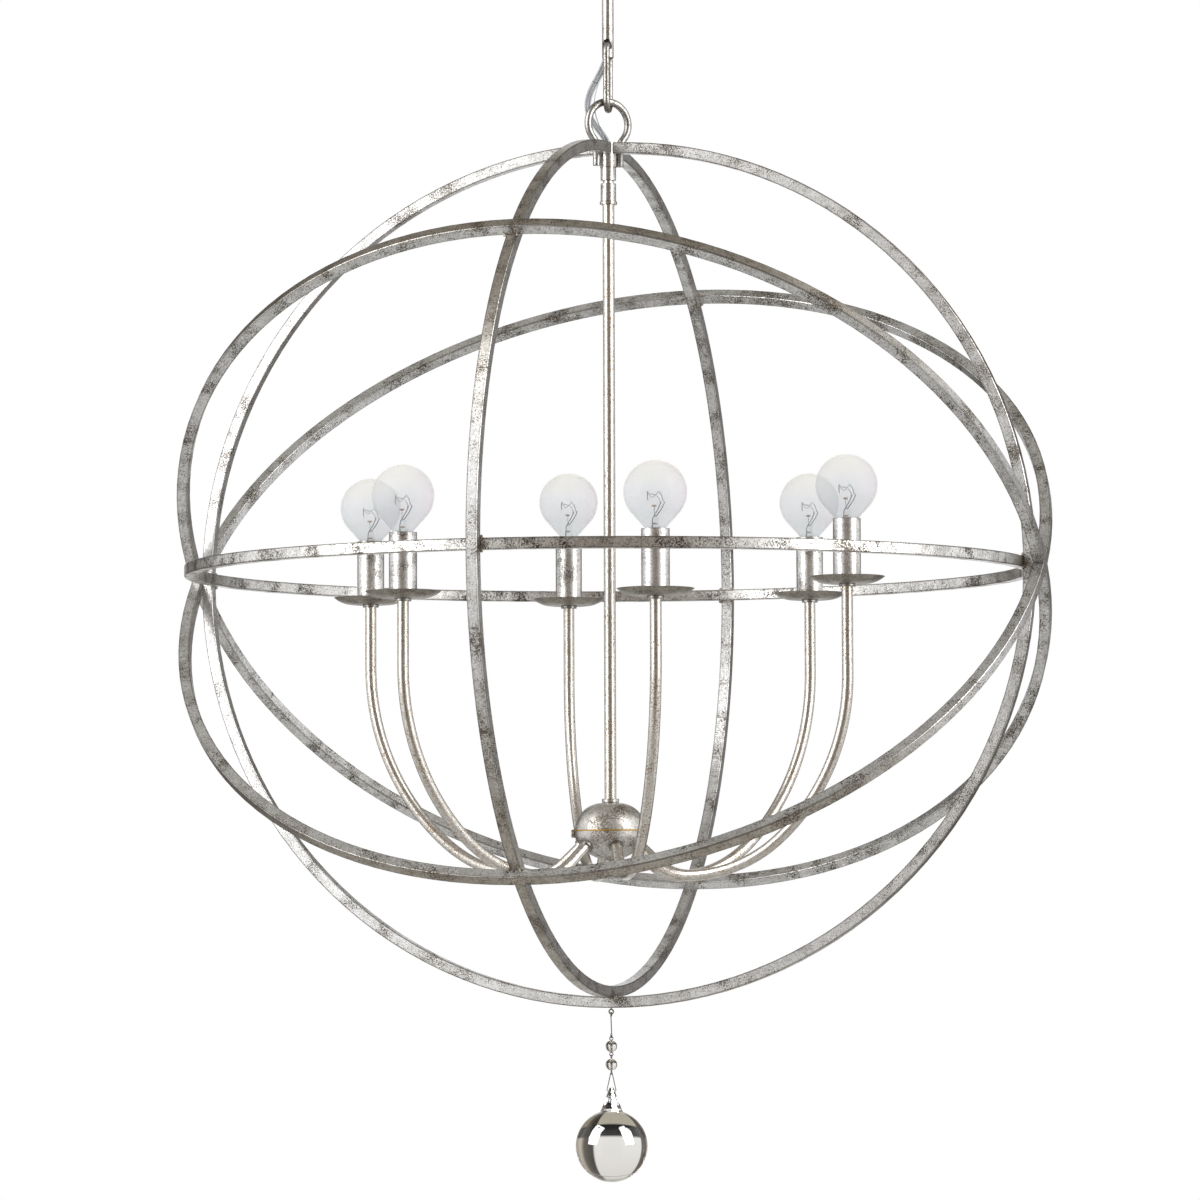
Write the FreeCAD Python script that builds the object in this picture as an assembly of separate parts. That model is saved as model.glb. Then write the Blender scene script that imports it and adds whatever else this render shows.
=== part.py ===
"""Orb chandelier: five welded hoops round a six-arm candelabra, hung on a rod and a long link.

Millimetres, +Z up. The origin is the centre of the canopy's rim, on the ceiling.
The stem, the hub and the down rod stand on the Z axis. The side hoop lies in the XZ plane.
"""
import FreeCAD, Part
import math
import os
from FreeCAD import Matrix, Placement, Rotation, Vector

os.makedirs("parts", exist_ok=True)

# Clearances
running_gap = 0.05        # radial, a shaft that turns in its hole
loose_gap = 0.15          # radial, a screw, tube or cord in its hole
hang_gap = 0.3            # between round wires that hang on one another
cope = 0.5                # how deep one hoop is notched over the next before welding

# Ceiling set
canopy_d = 130.0
canopy_depth = 24.0
canopy_sheet = 1.2
canopy_corner = 10.0
strap_length = 106.0
strap_width = 20.0
strap_sheet = 2.5
box_screw_spacing = 88.9
box_slot_width = 4.8
box_slot_length = 10.8
canopy_screw_spacing = 64.0
canopy_screw_d = 4.0
canopy_screw_head_d = 9.0
nipple_d = 10.0
nipple_bore = 6.5
locknut_across = 15.0
locknut_height = 4.0
coupling_d = 16.0
coupling_length = 28.0
coupling_round = 2.0

# Down rod and its cord outlet
rod_length = 305.0
rod_d = 10.0
rod_bore = 8.0
rod_end_round = 1.4
rod_end_below_pivot = 12.6
outlet_above_pivot = 22.0
outlet_slope = 25.0       # degrees of the cord from the rod's axis where it comes out
outlet_bushing_d = 7.0
outlet_flange_d = 8.6
outlet_flange = 1.4
outlet_bend_r = 22.0

# Hanging link: a long oval of round wire
link_wire = 5.6
link_length = 62.6        # outside
link_inner_width = 11.4
link_heading = -82.0      # degrees from +X, the way the link's plane faces
link_swing_max = 20.0     # degrees each way that the rod's slot leaves room for

# Hanging loop on top of the orb
loop_wire = 6.35
loop_width = 44.8         # outside
loop_rise = 35.3          # its top wire's centre above the top hub
loop_heading = 45.0
loop_foot_depth = 20.5    # how far its feet reach below the top hub's top
loop_neck_share = 1.5     # radius of the bends into its feet, as a share of how far they turn in

# Orb
orb_width = 763.0         # over the tilted hoops
orb_flatten = 2.1         # how much less the side hoop stands above its middle than beside it
bar = 9.5                 # square bar of the hoops
bar_edge = 0.6            # chamfer along its edges
tilt = 45.5               # degrees of the tilted hoops from level
level_rise = 1.6          # of the level hoop above the orb's centre
hoop_joint_turn = 20.0    # where a round hoop's own ends meet, clear of the crossings

# Top hub and swivel
hub_post_d = 14.0
hub_post_height = 21.8
hub_post_above = 0.5      # above the hoops' outer face
hub_post_bore = 8.0
hub_bushing_lip = 1.5
hub_bushing_lip_width = 1.0
hub_bushing_length = 7.0
hub_bushing_recess = 5.2
swivel_d = 13.2
swivel_fixed_height = 11.2
swivel_neck_d = 9.0
swivel_neck = 2.6
swivel_body_height = 18.1
swivel_flange_d = 14.8
swivel_flange = 2.6
swivel_shank_length = 14.5
swivel_groove = 3.2
swivel_groove_depth = 1.0
swivel_screw_below_top = 3.6
swivel_bore = 6.0
swivel_screw_d = 3.0
swivel_screw_heading = 241.0
swivel_screw_sunk = 0.5

# Stem and arm hub, heights from the orb's centre
stem_d = 10.0
stem_bore = 8.0
stem_in_swivel = 5.0
seam_below_centre = 219.7
hub_r = 30.4
dome_side_r = 23.5
dome_side_turn = 80.0
dome_crown_r = 100.0
dome_sheet = 1.6
hub_band = 5.0
bowl_depth = 20.3
bowl_wall = 2.5
stem_collar_d = 14.5
stem_collar = 3.0
stem_below_seam = 9.5
stem_window = 12.0
stem_window_width = 6.0
tie_rod_in_stem = 13.0
finial_d = 14.0
finial_neck_d = 10.0
finial_neck = 1.6
finial_neck_sunk = 1.0    # how far the neck stands in the round knob
side_screw_d = 4.0
side_screw_head_d = 7.0
side_screw_head = 3.2
side_screw_gap = 0.2      # between its head and the curved wall
side_screw_heading = 190.0

# Arms
arm_count = 6
first_arm_heading = -4.1
arm_tube = 9.5
arm_bore = 7.5
lamp_circle_r = 220.0
arm_sweep_r = 190.0
arm_sweep_turn = 50.0
arm_bottom_r = 124.0
arm_root_r = 45.0
arm_root_slope = 42.0
arm_root_from_axis = 18.0
arm_root_below_seam = 5.0
arm_collar_d = 13.0
arm_collar = 4.0
arm_end_below_pan = 1.0
wire_d = 5.0
wire_from_axis = 13.0

# Lamps; pan_seat is the pan's flat floor, below the orb's centre.
# The arms are bent by hand, so each lamp stands a little above or below it, further out or in,
# and turned a few degrees from its sixth of the circle.
pan_seat_below_centre = 20.0
lamp_lift = (6.4, 6.1, 6.4, 0.0, -7.9, -11.5)
lamp_reach = (-4.0, 1.5, 1.0, 3.5, -1.5, 1.0)
lamp_turn = (-1.1, -1.0, 1.1, 0.0, -0.2, 1.3)
pan_d = 64.0
pan_floor_d = 24.0
pan_depth = 5.2
pan_sheet = 1.0
pan_flare = 2.0           # how much wider than a straight cone its dished side is
pan_lip = 0.3
pan_collar_d = 13.8
pan_collar = 2.6
lamp_nipple_d = 7.4
lamp_nipple_bore = 5.4
lamp_nipple_in_arm = 12.0
lamp_nipple_in_socket = 9.0
socket_d = 18.6
socket_height = 46.7
socket_contact = 1.2      # metal between the wire's hole and the bulb's
sleeve_d = 23.4
sleeve_wall = 1.0
sleeve_height = 53.7
bulb_d = 52.4
bulb_centre_above_seat = 83.5
bulb_wall = 0.8
bulb_neck_d = 13.4
cap_d = 11.9
cap_wall = 0.5
cap_height = 20.8
cap_top_above_seat = 51.7
cap_tip_d = 7.0
cap_tip = 2.5
mount_stem_d = 4.0
mount_stem_height = 13.0
support_wire = 0.7
support_height = 17.0
support_spread = 9.0
filament_rise = 3.0
mount_foot = 2.0          # how far below the cap's rim the mount's foot is

# Crystal drop
eyelet_wire = 1.2
eyelet_r = 1.9
pin_wire = 0.9
pin_eye_r = 1.6
pin_length = 15.0
pin_lean_share = 0.6      # how far across its rings the bent pin starts and ends
pin_join_share = 0.8
bead_d = 10.0
bead_hole_d = 1.4
bead_wire = 0.8
bead_eye_r = 1.5
small_hang_gap = 0.1
bail_wire = 0.8
bail_height = 15.4
bail_spread = 8.4
bail_bend_r = 1.1
bail_crown_width = 2.0
bail_crown_flat = 1.4
bail_crown_depth = 1.2
bail_crown_bend_r = 0.7
bail_tip_gap = 0.4        # between its ends inside the prism
eyelet_in_bar = 0.3
prism_top_d = 3.6
prism_d = 20.6
prism_height = 21.0
prism_sides = 10
prism_hole_below_top = 3.0
prism_bowl = 2.4          # how far the ball's top stands up inside the prism's foot
ball_d = 61.2

# Supply cord between the rod and the top hub: how far each point of its route lies to the right of
# the axis, behind it and above the top hub, as seen from the front. It hangs clear behind the loop.
cord_d = 5.0
cord_heading = 16.8
cord_least_bend = 3.0     # in cord diameters
cord_straight = 5.0       # straight out of the outlet before the first bend
cord_upper_points = [(-0.3, 14.0, 85.5), (-1.4, 14.8, 76.0), (-4.4, 13.4, 67.0), (-8.6, 10.8, 58.5)]
cord_split = (-11.1, 9.1, 53.6)
cord_lower_points = [(-13.6, 7.4, 48.7), (-17.0, 4.6, 39.6), (-17.9, 2.6, 30.2), (-15.4, 1.2, 21.6),
                     (-10.6, 0.6, 14.2), (-5.2, 0.2, 7.4), (0.0, 0.0, -0.9)]


def hung_drop(upper_r, lower_r, angle, apart):
    """How far one bend's centre line rises above the other's when the lower bend hangs on the upper.

    The bends cross at the angle; apart is the least distance between their centre lines.
    """
    drop = apart
    for step in range(60):
        turn = math.radians(step)
        along = upper_r * math.sin(turn)
        sideways = abs(along * math.sin(angle))
        if sideways < apart:
            lower_along = along * math.cos(angle)
            bend = upper_r * (1 - math.cos(turn)) + lower_r - math.sqrt(lower_r ** 2 - lower_along ** 2)
            drop = max(drop, bend + math.sqrt(apart ** 2 - sideways ** 2))
    return drop


# Heights, worked out from the ceiling down
canopy_floor_z = -canopy_depth
coupling_top_z = canopy_floor_z
rod_top_z = coupling_top_z - coupling_length / 2
rod_bottom_z = rod_top_z - rod_length
link_pivot_z = rod_bottom_z + rod_end_below_pivot
link_end_r = (link_inner_width + link_wire) / 2
link_bottom_z = link_pivot_z - (link_length - link_wire)
loop_bend_r = (loop_width - loop_wire) / 2
loop_top_z = link_bottom_z + hung_drop(link_end_r, loop_bend_r, math.radians(loop_heading - link_heading),
                                       (link_wire + loop_wire) / 2 + hang_gap)
hub_post_top_z = loop_top_z - loop_rise
tilted_r = orb_width / 2 - bar / 2
nest = bar - cope
side_half_width = tilted_r - nest
side_half_height = side_half_width - orb_flatten
front_r = side_half_height - nest / 2
front_rise = nest / 2
orb_z = hub_post_top_z - hub_post_above - side_half_height - bar / 2
hub_post_bottom_z = hub_post_top_z - hub_post_height
hub_bushing_bottom_z = hub_post_top_z - hub_bushing_recess - hub_bushing_length
neck_top_z = hub_post_bottom_z - swivel_fixed_height
swivel_top_z = neck_top_z - swivel_neck
swivel_bottom_z = swivel_top_z - swivel_body_height
seam_z = orb_z - seam_below_centre
band_z = seam_z - hub_band
bowl_bottom_z = band_z - bowl_depth
bowl_sphere_r = (hub_r ** 2 + bowl_depth ** 2) / (2 * bowl_depth)
bowl_centre_z = bowl_bottom_z + bowl_sphere_r
stem_bottom_z = seam_z - stem_below_seam
tie_rod_top_z = stem_bottom_z + tie_rod_in_stem
pan_seat_z = orb_z - pan_seat_below_centre
wire_top_above_seat = cap_top_above_seat - cap_height - socket_contact - hang_gap
orb_bottom_z = orb_z - side_half_height - bar / 2

X, Y, Z = Vector(1, 0, 0), Vector(0, 1, 0), Vector(0, 0, 1)
nodes = {}


def heading(degrees):
    """Unit vector in the level plane, turned from +X."""
    return Vector(math.cos(math.radians(degrees)), math.sin(math.radians(degrees)), 0)


def rod(radius, low_z, high_z):
    """Solid cylinder on the Z axis between two heights."""
    return Part.makeCylinder(radius, high_z - low_z, Vector(0, 0, low_z))


def tube(outer_r, inner_r, low_z, high_z):
    return rod(outer_r, low_z, high_z).cut(rod(inner_r, low_z, high_z))


def spun(points):
    """Solid of revolution about Z from (radius, height) points; three points in a tuple are an arc."""
    edges = []
    here = None
    for item in points + [points[0]]:
        stops = item if isinstance(item[0], tuple) else (item,)
        stops = [Vector(r, 0, z) for r, z in stops]
        if here is not None and here.distanceToPoint(stops[0]) > 1e-7:
            edges.append(Part.makeLine(here, stops[0]))
        if len(stops) == 3 and not (item is points[0] and here is not None):
            edges.append(Part.Arc(*stops).toShape())
            here = stops[2]
        else:
            here = stops[0] if len(stops) == 1 or item is points[0] else stops[2]
    return Part.Face(Part.Wire(edges)).revolve(Vector(0, 0, 0), Z, 360)


def swept(edges, radius):
    """Round bar along a smooth path of lines and arcs."""
    first = edges[0]
    start = first.valueAt(first.FirstParameter)
    ring = Part.Wire(Part.makeCircle(radius, start, first.tangentAt(first.FirstParameter)))
    return Part.Wire(edges).makePipeShell([ring], True, False)


def bent_path(corners, radii):
    """Lines through the corners, each inner corner rounded by a tangent arc of its own radius."""
    edges = []
    here = corners[0]
    for before, corner, after, radius in zip(corners, corners[1:], corners[2:], radii):
        back, on = (before - corner).normalize(), (after - corner).normalize()
        half_turn = (math.pi - back.getAngle(on)) / 2
        reach = radius * math.tan(half_turn)
        start, end = corner + back * reach, corner + on * reach
        to_middle = (back + on).normalize() * (radius / math.cos(half_turn) - radius)
        if here.distanceToPoint(start) > 1e-6:
            edges.append(Part.makeLine(here, start))
        edges.append(Part.Arc(start, corner + to_middle, end).toShape())
        here = end
    edges.append(Part.makeLine(here, corners[-1]))
    return edges


def placed(shape, u, v, centre):
    """Move a shape drawn on X and Y at the origin to the plane of u and v at the centre."""
    w = u.cross(v)
    frame = Matrix(u.x, v.x, w.x, centre.x, u.y, v.y, w.y, centre.y, u.z, v.z, w.z, centre.z)
    moved = shape.copy()
    moved.Placement = Placement(frame).multiply(shape.Placement)
    return moved


def turned(shape, degrees):
    return shape.rotated(Vector(0, 0, 0), Z, degrees)


def hex_prism(across, low_z, high_z):
    corner = across / math.sqrt(3)
    points = [heading(60 * k) * corner + Vector(0, 0, low_z) for k in range(7)]
    return Part.Face(Part.makePolygon(points)).extrude(Vector(0, 0, high_z - low_z))


def ceiling_set():
    """Canopy, mounting strap, its screws, the nipple with its locknut, and the rod's coupling."""
    r, corner, sheet = canopy_d / 2, canopy_corner, canopy_sheet
    diagonal = math.sqrt(0.5)
    inner = corner - sheet
    flat = r - corner
    outside = ((r, canopy_floor_z + corner),
               (flat + corner * diagonal, canopy_floor_z + corner * (1 - diagonal)),
               (flat, canopy_floor_z))
    inside = ((flat, canopy_floor_z + sheet),
              (flat + inner * diagonal, canopy_floor_z + corner - inner * diagonal),
              (r - sheet, canopy_floor_z + corner))
    hole = nipple_d / 2 + loose_gap
    canopy = spun([(hole, canopy_floor_z), (hole, canopy_floor_z + sheet), inside, (r - sheet, 0.0), (r, 0.0),
                   outside])
    strap = Part.makeBox(strap_length, strap_width, strap_sheet,
                         Vector(-strap_length / 2, -strap_width / 2, -strap_sheet))
    strap = strap.cut(rod(nipple_d / 2, -strap_sheet, 0))
    slot_half = (box_slot_length - box_slot_width) / 2
    for side in (-1, 1):
        at = Vector(side * box_screw_spacing / 2, 0, -strap_sheet)
        slot = Part.makeBox(2 * slot_half, box_slot_width, strap_sheet,
                            at - Vector(slot_half, box_slot_width / 2, 0))
        for end in (-1, 1):
            slot = slot.fuse(Part.makeCylinder(box_slot_width / 2, strap_sheet, at + X * (end * slot_half)))
        strap = strap.cut(slot)
    screws = []
    for side in (-1, 1):
        at = X * (side * canopy_screw_spacing / 2)
        shank_r = canopy_screw_d / 2
        strap = strap.cut(rod(shank_r, -strap_sheet, 0).translated(at))
        canopy = canopy.cut(rod(shank_r + loose_gap, canopy_floor_z, canopy_floor_z + sheet).translated(at))
        head_r = canopy_screw_head_d / 2
        dome_x, dome_z = head_r * diagonal, canopy_floor_z - head_r * diagonal
        head = spun([(0.0, canopy_floor_z), (0.0, canopy_floor_z - head_r),
                     ((0.001, canopy_floor_z - head_r), (dome_x, dome_z), (head_r, canopy_floor_z))])
        screws.append(rod(shank_r, canopy_floor_z, 0).fuse(head).removeSplitter().translated(at))
    nodes["canopy"] = canopy
    nodes["mounting_strap"] = strap
    nodes["canopy_screws"] = Part.makeCompound(screws)
    nodes["rod_nipple"] = tube(nipple_d / 2, nipple_bore / 2, rod_top_z, 0)
    lock_low = -strap_sheet - locknut_height
    nodes["nipple_locknut"] = hex_prism(locknut_across, lock_low, -strap_sheet).cut(
        rod(nipple_d / 2, lock_low, -strap_sheet))
    coupling = rod(coupling_d / 2, coupling_top_z - coupling_length, coupling_top_z)
    rims = [e for e in coupling.Edges if isinstance(e.Curve, Part.Circle)]
    coupling = coupling.makeFillet(coupling_round, rims)
    nodes["rod_coupling"] = coupling.cut(rod(rod_d / 2, coupling_top_z - coupling_length, coupling_top_z))


def rod_cord_path():
    """Where the cord leaves the rod's axis, crosses its wall and passes the bushing's outer face."""
    behind = heading(cord_heading + 90)
    slope = math.radians(outlet_slope)
    out = (behind * math.sin(slope) - Z * math.cos(slope)).normalize()
    on_wall = Vector(0, 0, link_pivot_z + outlet_above_pivot) + behind * (rod_d / 2)
    leave = on_wall - out * (rod_d / 2 / math.sin(slope))
    face = on_wall + out * outlet_length()
    return leave, on_wall, face, out


def outlet_length():
    """How far the slanted bushing stands out, so that its whole outer face clears the rod."""
    slope = math.radians(outlet_slope)
    return outlet_flange_d / 2 / math.tan(slope) + outlet_flange


def down_rod():
    """The hollow rod with its slotted cross hole, the outlet bushing and the cord inside."""
    body = rod(rod_d / 2, rod_bottom_z, rod_top_z)
    rims = [e for e in body.Edges if isinstance(e.Curve, Part.Circle) and e.BoundBox.ZMax < rod_top_z - 1]
    body = body.makeFillet(rod_end_round, rims).cut(rod(rod_bore / 2, rod_bottom_z, rod_top_z))
    across = heading(link_heading)
    swing = math.radians(link_swing_max)
    wire_low = link_end_r - math.sqrt((link_end_r - link_wire / 2) ** 2 - (rod_d / 2) ** 2)
    slot_r = link_wire / 2 + wire_low / 2 * math.sin(swing)
    wire_side = wire_low * math.sin(swing)
    slot_drop = wire_low * math.cos(swing) - math.sqrt((slot_r - hang_gap) ** 2 - wire_side ** 2)
    for drop in (0.0, slot_drop):
        start = Vector(0, 0, link_pivot_z - drop) - across * rod_d
        body = body.cut(Part.makeCylinder(slot_r, 2 * rod_d, start, across))
    leave, on_wall, face, out = rod_cord_path()
    bushing_r = outlet_bushing_d / 2
    nodes["down_rod"] = body.cut(Part.makeCylinder(bushing_r, leave.distanceToPoint(face), leave, out))
    bend_reach = outlet_bend_r * math.tan(math.radians(outlet_slope) / 2)
    inner_end = leave + out * bend_reach
    barrel = Part.makeCylinder(bushing_r, inner_end.distanceToPoint(face), inner_end, out)
    flange = Part.makeCylinder(outlet_flange_d / 2, outlet_flange, face - out * outlet_flange, out)
    bushing = barrel.fuse(flange).removeSplitter()
    cord_hole = Part.makeCylinder(cord_d / 2 + loose_gap, inner_end.distanceToPoint(face), inner_end, out)
    nodes["outlet_bushing"] = bushing.cut(cord_hole)
    start = Vector(0, 0, canopy_floor_z - nipple_bore)
    nodes["cord_in_rod"] = swept(bent_path([start, leave, face], [outlet_bend_r]), cord_d / 2)


def hanging_link():
    """Oval of round wire: two half rings joined by straight sides."""
    radius = link_wire / 2
    half_side = (link_pivot_z - link_bottom_z) / 2 - link_end_r
    top, bottom = Vector(0, half_side, 0), Vector(0, -half_side, 0)
    left, right = Vector(-link_end_r, 0, 0), Vector(link_end_r, 0, 0)
    upper = [Part.makeLine(left, left + top),
             Part.Arc(left + top, top + Vector(0, link_end_r, 0), right + top).toShape(),
             Part.makeLine(right + top, right)]
    lower = [Part.makeLine(right, right + bottom),
             Part.Arc(right + bottom, bottom - Vector(0, link_end_r, 0), left + bottom).toShape(),
             Part.makeLine(left + bottom, left)]
    oval = swept(upper, radius).fuse(swept(lower, radius)).removeSplitter()
    middle = Vector(0, 0, (link_pivot_z + link_bottom_z) / 2)
    nodes["hanging_link"] = placed(oval, heading(link_heading), Z, middle)


def hanging_loop():
    """Teardrop of round wire whose two legs stand in the corners between the upright hoops."""
    radius = loop_wire / 2
    big = loop_bend_r
    foot = (bar + loop_wire) / 2 * math.sqrt(2)
    middle_z = loop_top_z - big
    neck_r = (big - foot) * loop_neck_share
    dip = math.acos((foot + neck_r) / (big + neck_r))
    leg_z = middle_z - (big + neck_r) * math.sin(dip)
    foot_z = hub_post_top_z - loop_foot_depth
    edges = []
    for side in (-1, 1):
        foot_at = Vector(side * foot, foot_z, 0)
        leg = Vector(side * foot, leg_z, 0)
        neck = Vector(side * (foot + neck_r), leg_z, 0)
        joint = Vector(side * big * math.cos(dip), middle_z - big * math.sin(dip), 0)
        half = math.pi - dip / 2
        bulge = neck + Vector(side * neck_r * math.cos(half), neck_r * math.sin(half), 0)
        edges.append([Part.makeLine(foot_at, leg), Part.Arc(leg, bulge, joint).toShape()])
    left, right = (pair[1].valueAt(pair[1].LastParameter) for pair in edges)
    arch = Part.Arc(left, Vector(0, loop_top_z, 0), right).toShape()
    loop = swept([arch], radius).fuse([swept(pair, radius) for pair in edges]).removeSplitter()
    nodes["hanging_loop"] = placed(loop, heading(loop_heading), Z, Vector(0, 0, 0))


def oval(a, b):
    """Outline of four tangent arcs that meet at 45 degrees, a by b from its middle; or a circle."""
    if abs(a - b) < 1e-6:
        return turned(Part.Wire(Part.makeCircle(a)), hoop_joint_turn)
    k = math.sqrt(0.5)
    end_r = (k * b - (1 - k) * a) / (2 * k - 1)
    middle_x = a - end_r
    join_x, join_y = middle_x + end_r * k, end_r * k
    right = Part.Arc(Vector(join_x, -join_y, 0), Vector(a, 0, 0), Vector(join_x, join_y, 0))
    top = Part.Arc(Vector(join_x, join_y, 0), Vector(0, b, 0), Vector(-join_x, join_y, 0))
    left = Part.Arc(Vector(-join_x, join_y, 0), Vector(-a, 0, 0), Vector(-join_x, -join_y, 0))
    low = Part.Arc(Vector(-join_x, -join_y, 0), Vector(0, -b, 0), Vector(join_x, -join_y, 0))
    return Part.Wire([arc.toShape() for arc in (right, top, left, low)])


def hoop(half_u, half_v, u, v, centre):
    """Flat hoop of square bar with eased edges, half_u by half_v to the middle of the bar."""
    outer = Part.Face(oval(half_u + bar / 2, half_v + bar / 2)).extrude(Vector(0, 0, bar))
    inner = Part.Face(oval(half_u - bar / 2, half_v - bar / 2)).extrude(Vector(0, 0, bar))
    ring = outer.cut(inner)
    rims = [e for e in ring.Edges if not isinstance(e.Curve, Part.Line)]
    ring = ring.makeChamfer(bar_edge, rims).translated(Vector(0, 0, -bar / 2))
    return placed(ring, u, v, centre)


def orb():
    """Five hoops. Each is coped over the ones it crosses; the tilted two are half lapped."""
    middle = Vector(0, 0, orb_z)
    side = hoop(side_half_width, side_half_height, X, Z, middle)
    front = hoop(front_r, front_r, Y, Z, middle + Z * front_rise)
    front_at_level = math.sqrt(front_r ** 2 - (front_rise - level_rise) ** 2)
    level = hoop(side_half_width - nest, front_at_level - nest, X, Y, middle + Z * level_rise)
    lean = math.radians(tilt)
    slopes = [Vector(0, way * math.cos(lean), math.sin(lean)) for way in (-1, 1)]
    centres = [middle + along * (front_rise * math.sin(lean)) for along in slopes]
    forward, back = (hoop(tilted_r, front_r + nest, X, along, at) for along, at in zip(slopes, centres))
    post = rod(hub_post_d / 2, hub_post_bottom_z, hub_post_top_z)
    side = side.cut(post)
    front = front.cut(post).cut(side)
    level = level.cut(front).cut(side)
    for end in (-1, 1):
        notch = Part.makeBox(bar, 3 * bar, bar, Vector(tilted_r - bar, -1.5 * bar, -bar / 2))
        if end < 0:
            notch = turned(notch, 180)
        forward = forward.cut(placed(notch, X, slopes[1], middle))
        back = back.cut(placed(notch.translated(X * end * bar), X, slopes[0], middle))
    forward = forward.cut(side).cut(front)
    back = back.cut(side).cut(front)
    nodes["side_hoop"] = side
    nodes["front_hoop"] = front
    nodes["forward_tilted_hoop"] = forward
    nodes["back_tilted_hoop"] = back
    nodes["level_hoop"] = level


def top_hub():
    """Hub post, the bushing where the cord goes in, and the swivel's two halves with its set screw."""
    bore_r = hub_post_bore / 2
    nodes["top_hub"] = tube(hub_post_d / 2, bore_r, hub_post_bottom_z, hub_post_top_z)
    bottom, top = hub_bushing_bottom_z, hub_bushing_bottom_z + hub_bushing_length
    bushing = rod(bore_r, bottom, top).cut(rod(cord_d / 2 + loose_gap, bottom + hub_bushing_lip, top))
    nodes["hub_bushing"] = bushing.cut(rod(cord_d / 2 - hub_bushing_lip_width, bottom, top))
    shank_bottom = neck_top_z - swivel_shank_length
    neck_r = swivel_neck_d / 2
    screw_z = swivel_top_z - swivel_screw_below_top
    groove_top = screw_z + swivel_groove / 2
    stud = rod(swivel_d / 2, neck_top_z, hub_post_bottom_z).fuse(rod(neck_r, shank_bottom, neck_top_z))
    stud = stud.fuse(rod(bore_r, hub_post_bottom_z, bottom)).removeSplitter()
    stud = stud.cut(tube(neck_r + 1, neck_r - swivel_groove_depth, groove_top - swivel_groove, groove_top))
    nodes["swivel_stud"] = stud.cut(rod(swivel_bore / 2, shank_bottom, bottom))
    body = rod(swivel_d / 2, swivel_bottom_z, swivel_top_z)
    flange = rod(swivel_flange_d / 2, swivel_bottom_z, swivel_bottom_z + swivel_flange)
    body = body.fuse(flange).removeSplitter()
    stem_top = swivel_bottom_z + stem_in_swivel
    body = body.cut(rod(neck_r + running_gap, stem_top, swivel_top_z))
    body = body.cut(rod(stem_d / 2, swivel_bottom_z, stem_top))
    way = heading(swivel_screw_heading)
    tip = neck_r - swivel_groove_depth + hang_gap
    screw_end = way * tip + Z * screw_z
    screw_length = swivel_d / 2 - tip - swivel_screw_sunk
    nodes["swivel_screw"] = Part.makeCylinder(swivel_screw_d / 2, screw_length, screw_end, way)
    nodes["swivel_body"] = body.cut(Part.makeCylinder(swivel_screw_d / 2, swivel_d, screw_end, way))
    nodes["stem"] = stem_tube(stem_top)


def stem_tube(stem_top):
    """Tube from the swivel into the arm hub, with a window where the wires come out."""
    stem = tube(stem_d / 2, stem_bore / 2, stem_bottom_z, stem_top)
    window = Part.makeBox(2 * stem_d, stem_window_width, stem_window,
                          Vector(-stem_d, -stem_window_width / 2, tie_rod_top_z))
    return stem.cut(turned(window, first_arm_heading))


def dome_profile(grow):
    """Dome outline from the seam to the crown, moved inwards by grow; and where it meets the stem."""
    side_x = hub_r - dome_side_r
    turn = math.radians(dome_side_turn)
    shift = dome_crown_r - dome_side_r
    crown = (side_x - shift * math.cos(turn), seam_z - shift * math.sin(turn))
    side_r_in, crown_r_in = dome_side_r - grow, dome_crown_r - grow
    hole = stem_d / 2

    def on_side(a):
        return (side_x + side_r_in * math.cos(a), seam_z + side_r_in * math.sin(a))

    top_angle = math.acos((hole - crown[0]) / crown_r_in)

    def on_crown(a):
        return (crown[0] + crown_r_in * math.cos(a), crown[1] + crown_r_in * math.sin(a))

    return (on_side(0), on_side(turn / 2), on_side(turn)), \
        (on_crown(turn), on_crown((turn + top_angle) / 2), on_crown(top_angle))


def arm_bends(reach):
    """Bend radii from the hub to the lamp; a wider last bend carries the lamp further out by reach."""
    sweep = math.radians(arm_sweep_turn)
    wider = reach / (math.sin(sweep) * math.tan(sweep / 2))
    return [arm_root_r, arm_bottom_r, arm_sweep_r + wider]


def arm_corners(lift, reach):
    """The arm's centre line in its own upright plane, from the hub up to the lamp."""
    sweep, root = math.radians(arm_sweep_turn), math.radians(arm_root_slope)
    bottom = math.pi / 2 - sweep
    lamp_x = lamp_circle_r + reach
    sweep_reach = arm_bends(reach)[2] * math.tan(sweep / 2)
    bottom_reach = arm_bottom_r * math.tan(bottom / 2)
    root_reach = arm_root_r * math.tan(root / 2)
    run = sweep_reach + bottom_reach
    low_x = lamp_x - run * math.cos(bottom)
    start_x = low_x - bottom_reach - root_reach
    root_z = seam_z - arm_root_below_seam
    low_z = root_z - (start_x - arm_root_from_axis) * math.tan(root)
    wide_z = low_z + run * math.sin(bottom)
    top_z = pan_seat_z + lift - pan_sheet - arm_end_below_pan
    return [Vector(arm_root_from_axis, 0, root_z), Vector(start_x, 0, low_z), Vector(low_x, 0, low_z),
            Vector(lamp_x, 0, wide_z), Vector(lamp_x, 0, top_z)]


def arm_tube_solid(k, radius):
    return swept(bent_path(arm_corners(lamp_lift[k], lamp_reach[k]), arm_bends(lamp_reach[k])), radius)


def arm_heading(k):
    return first_arm_heading + 360.0 / arm_count * k + lamp_turn[k]


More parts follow.
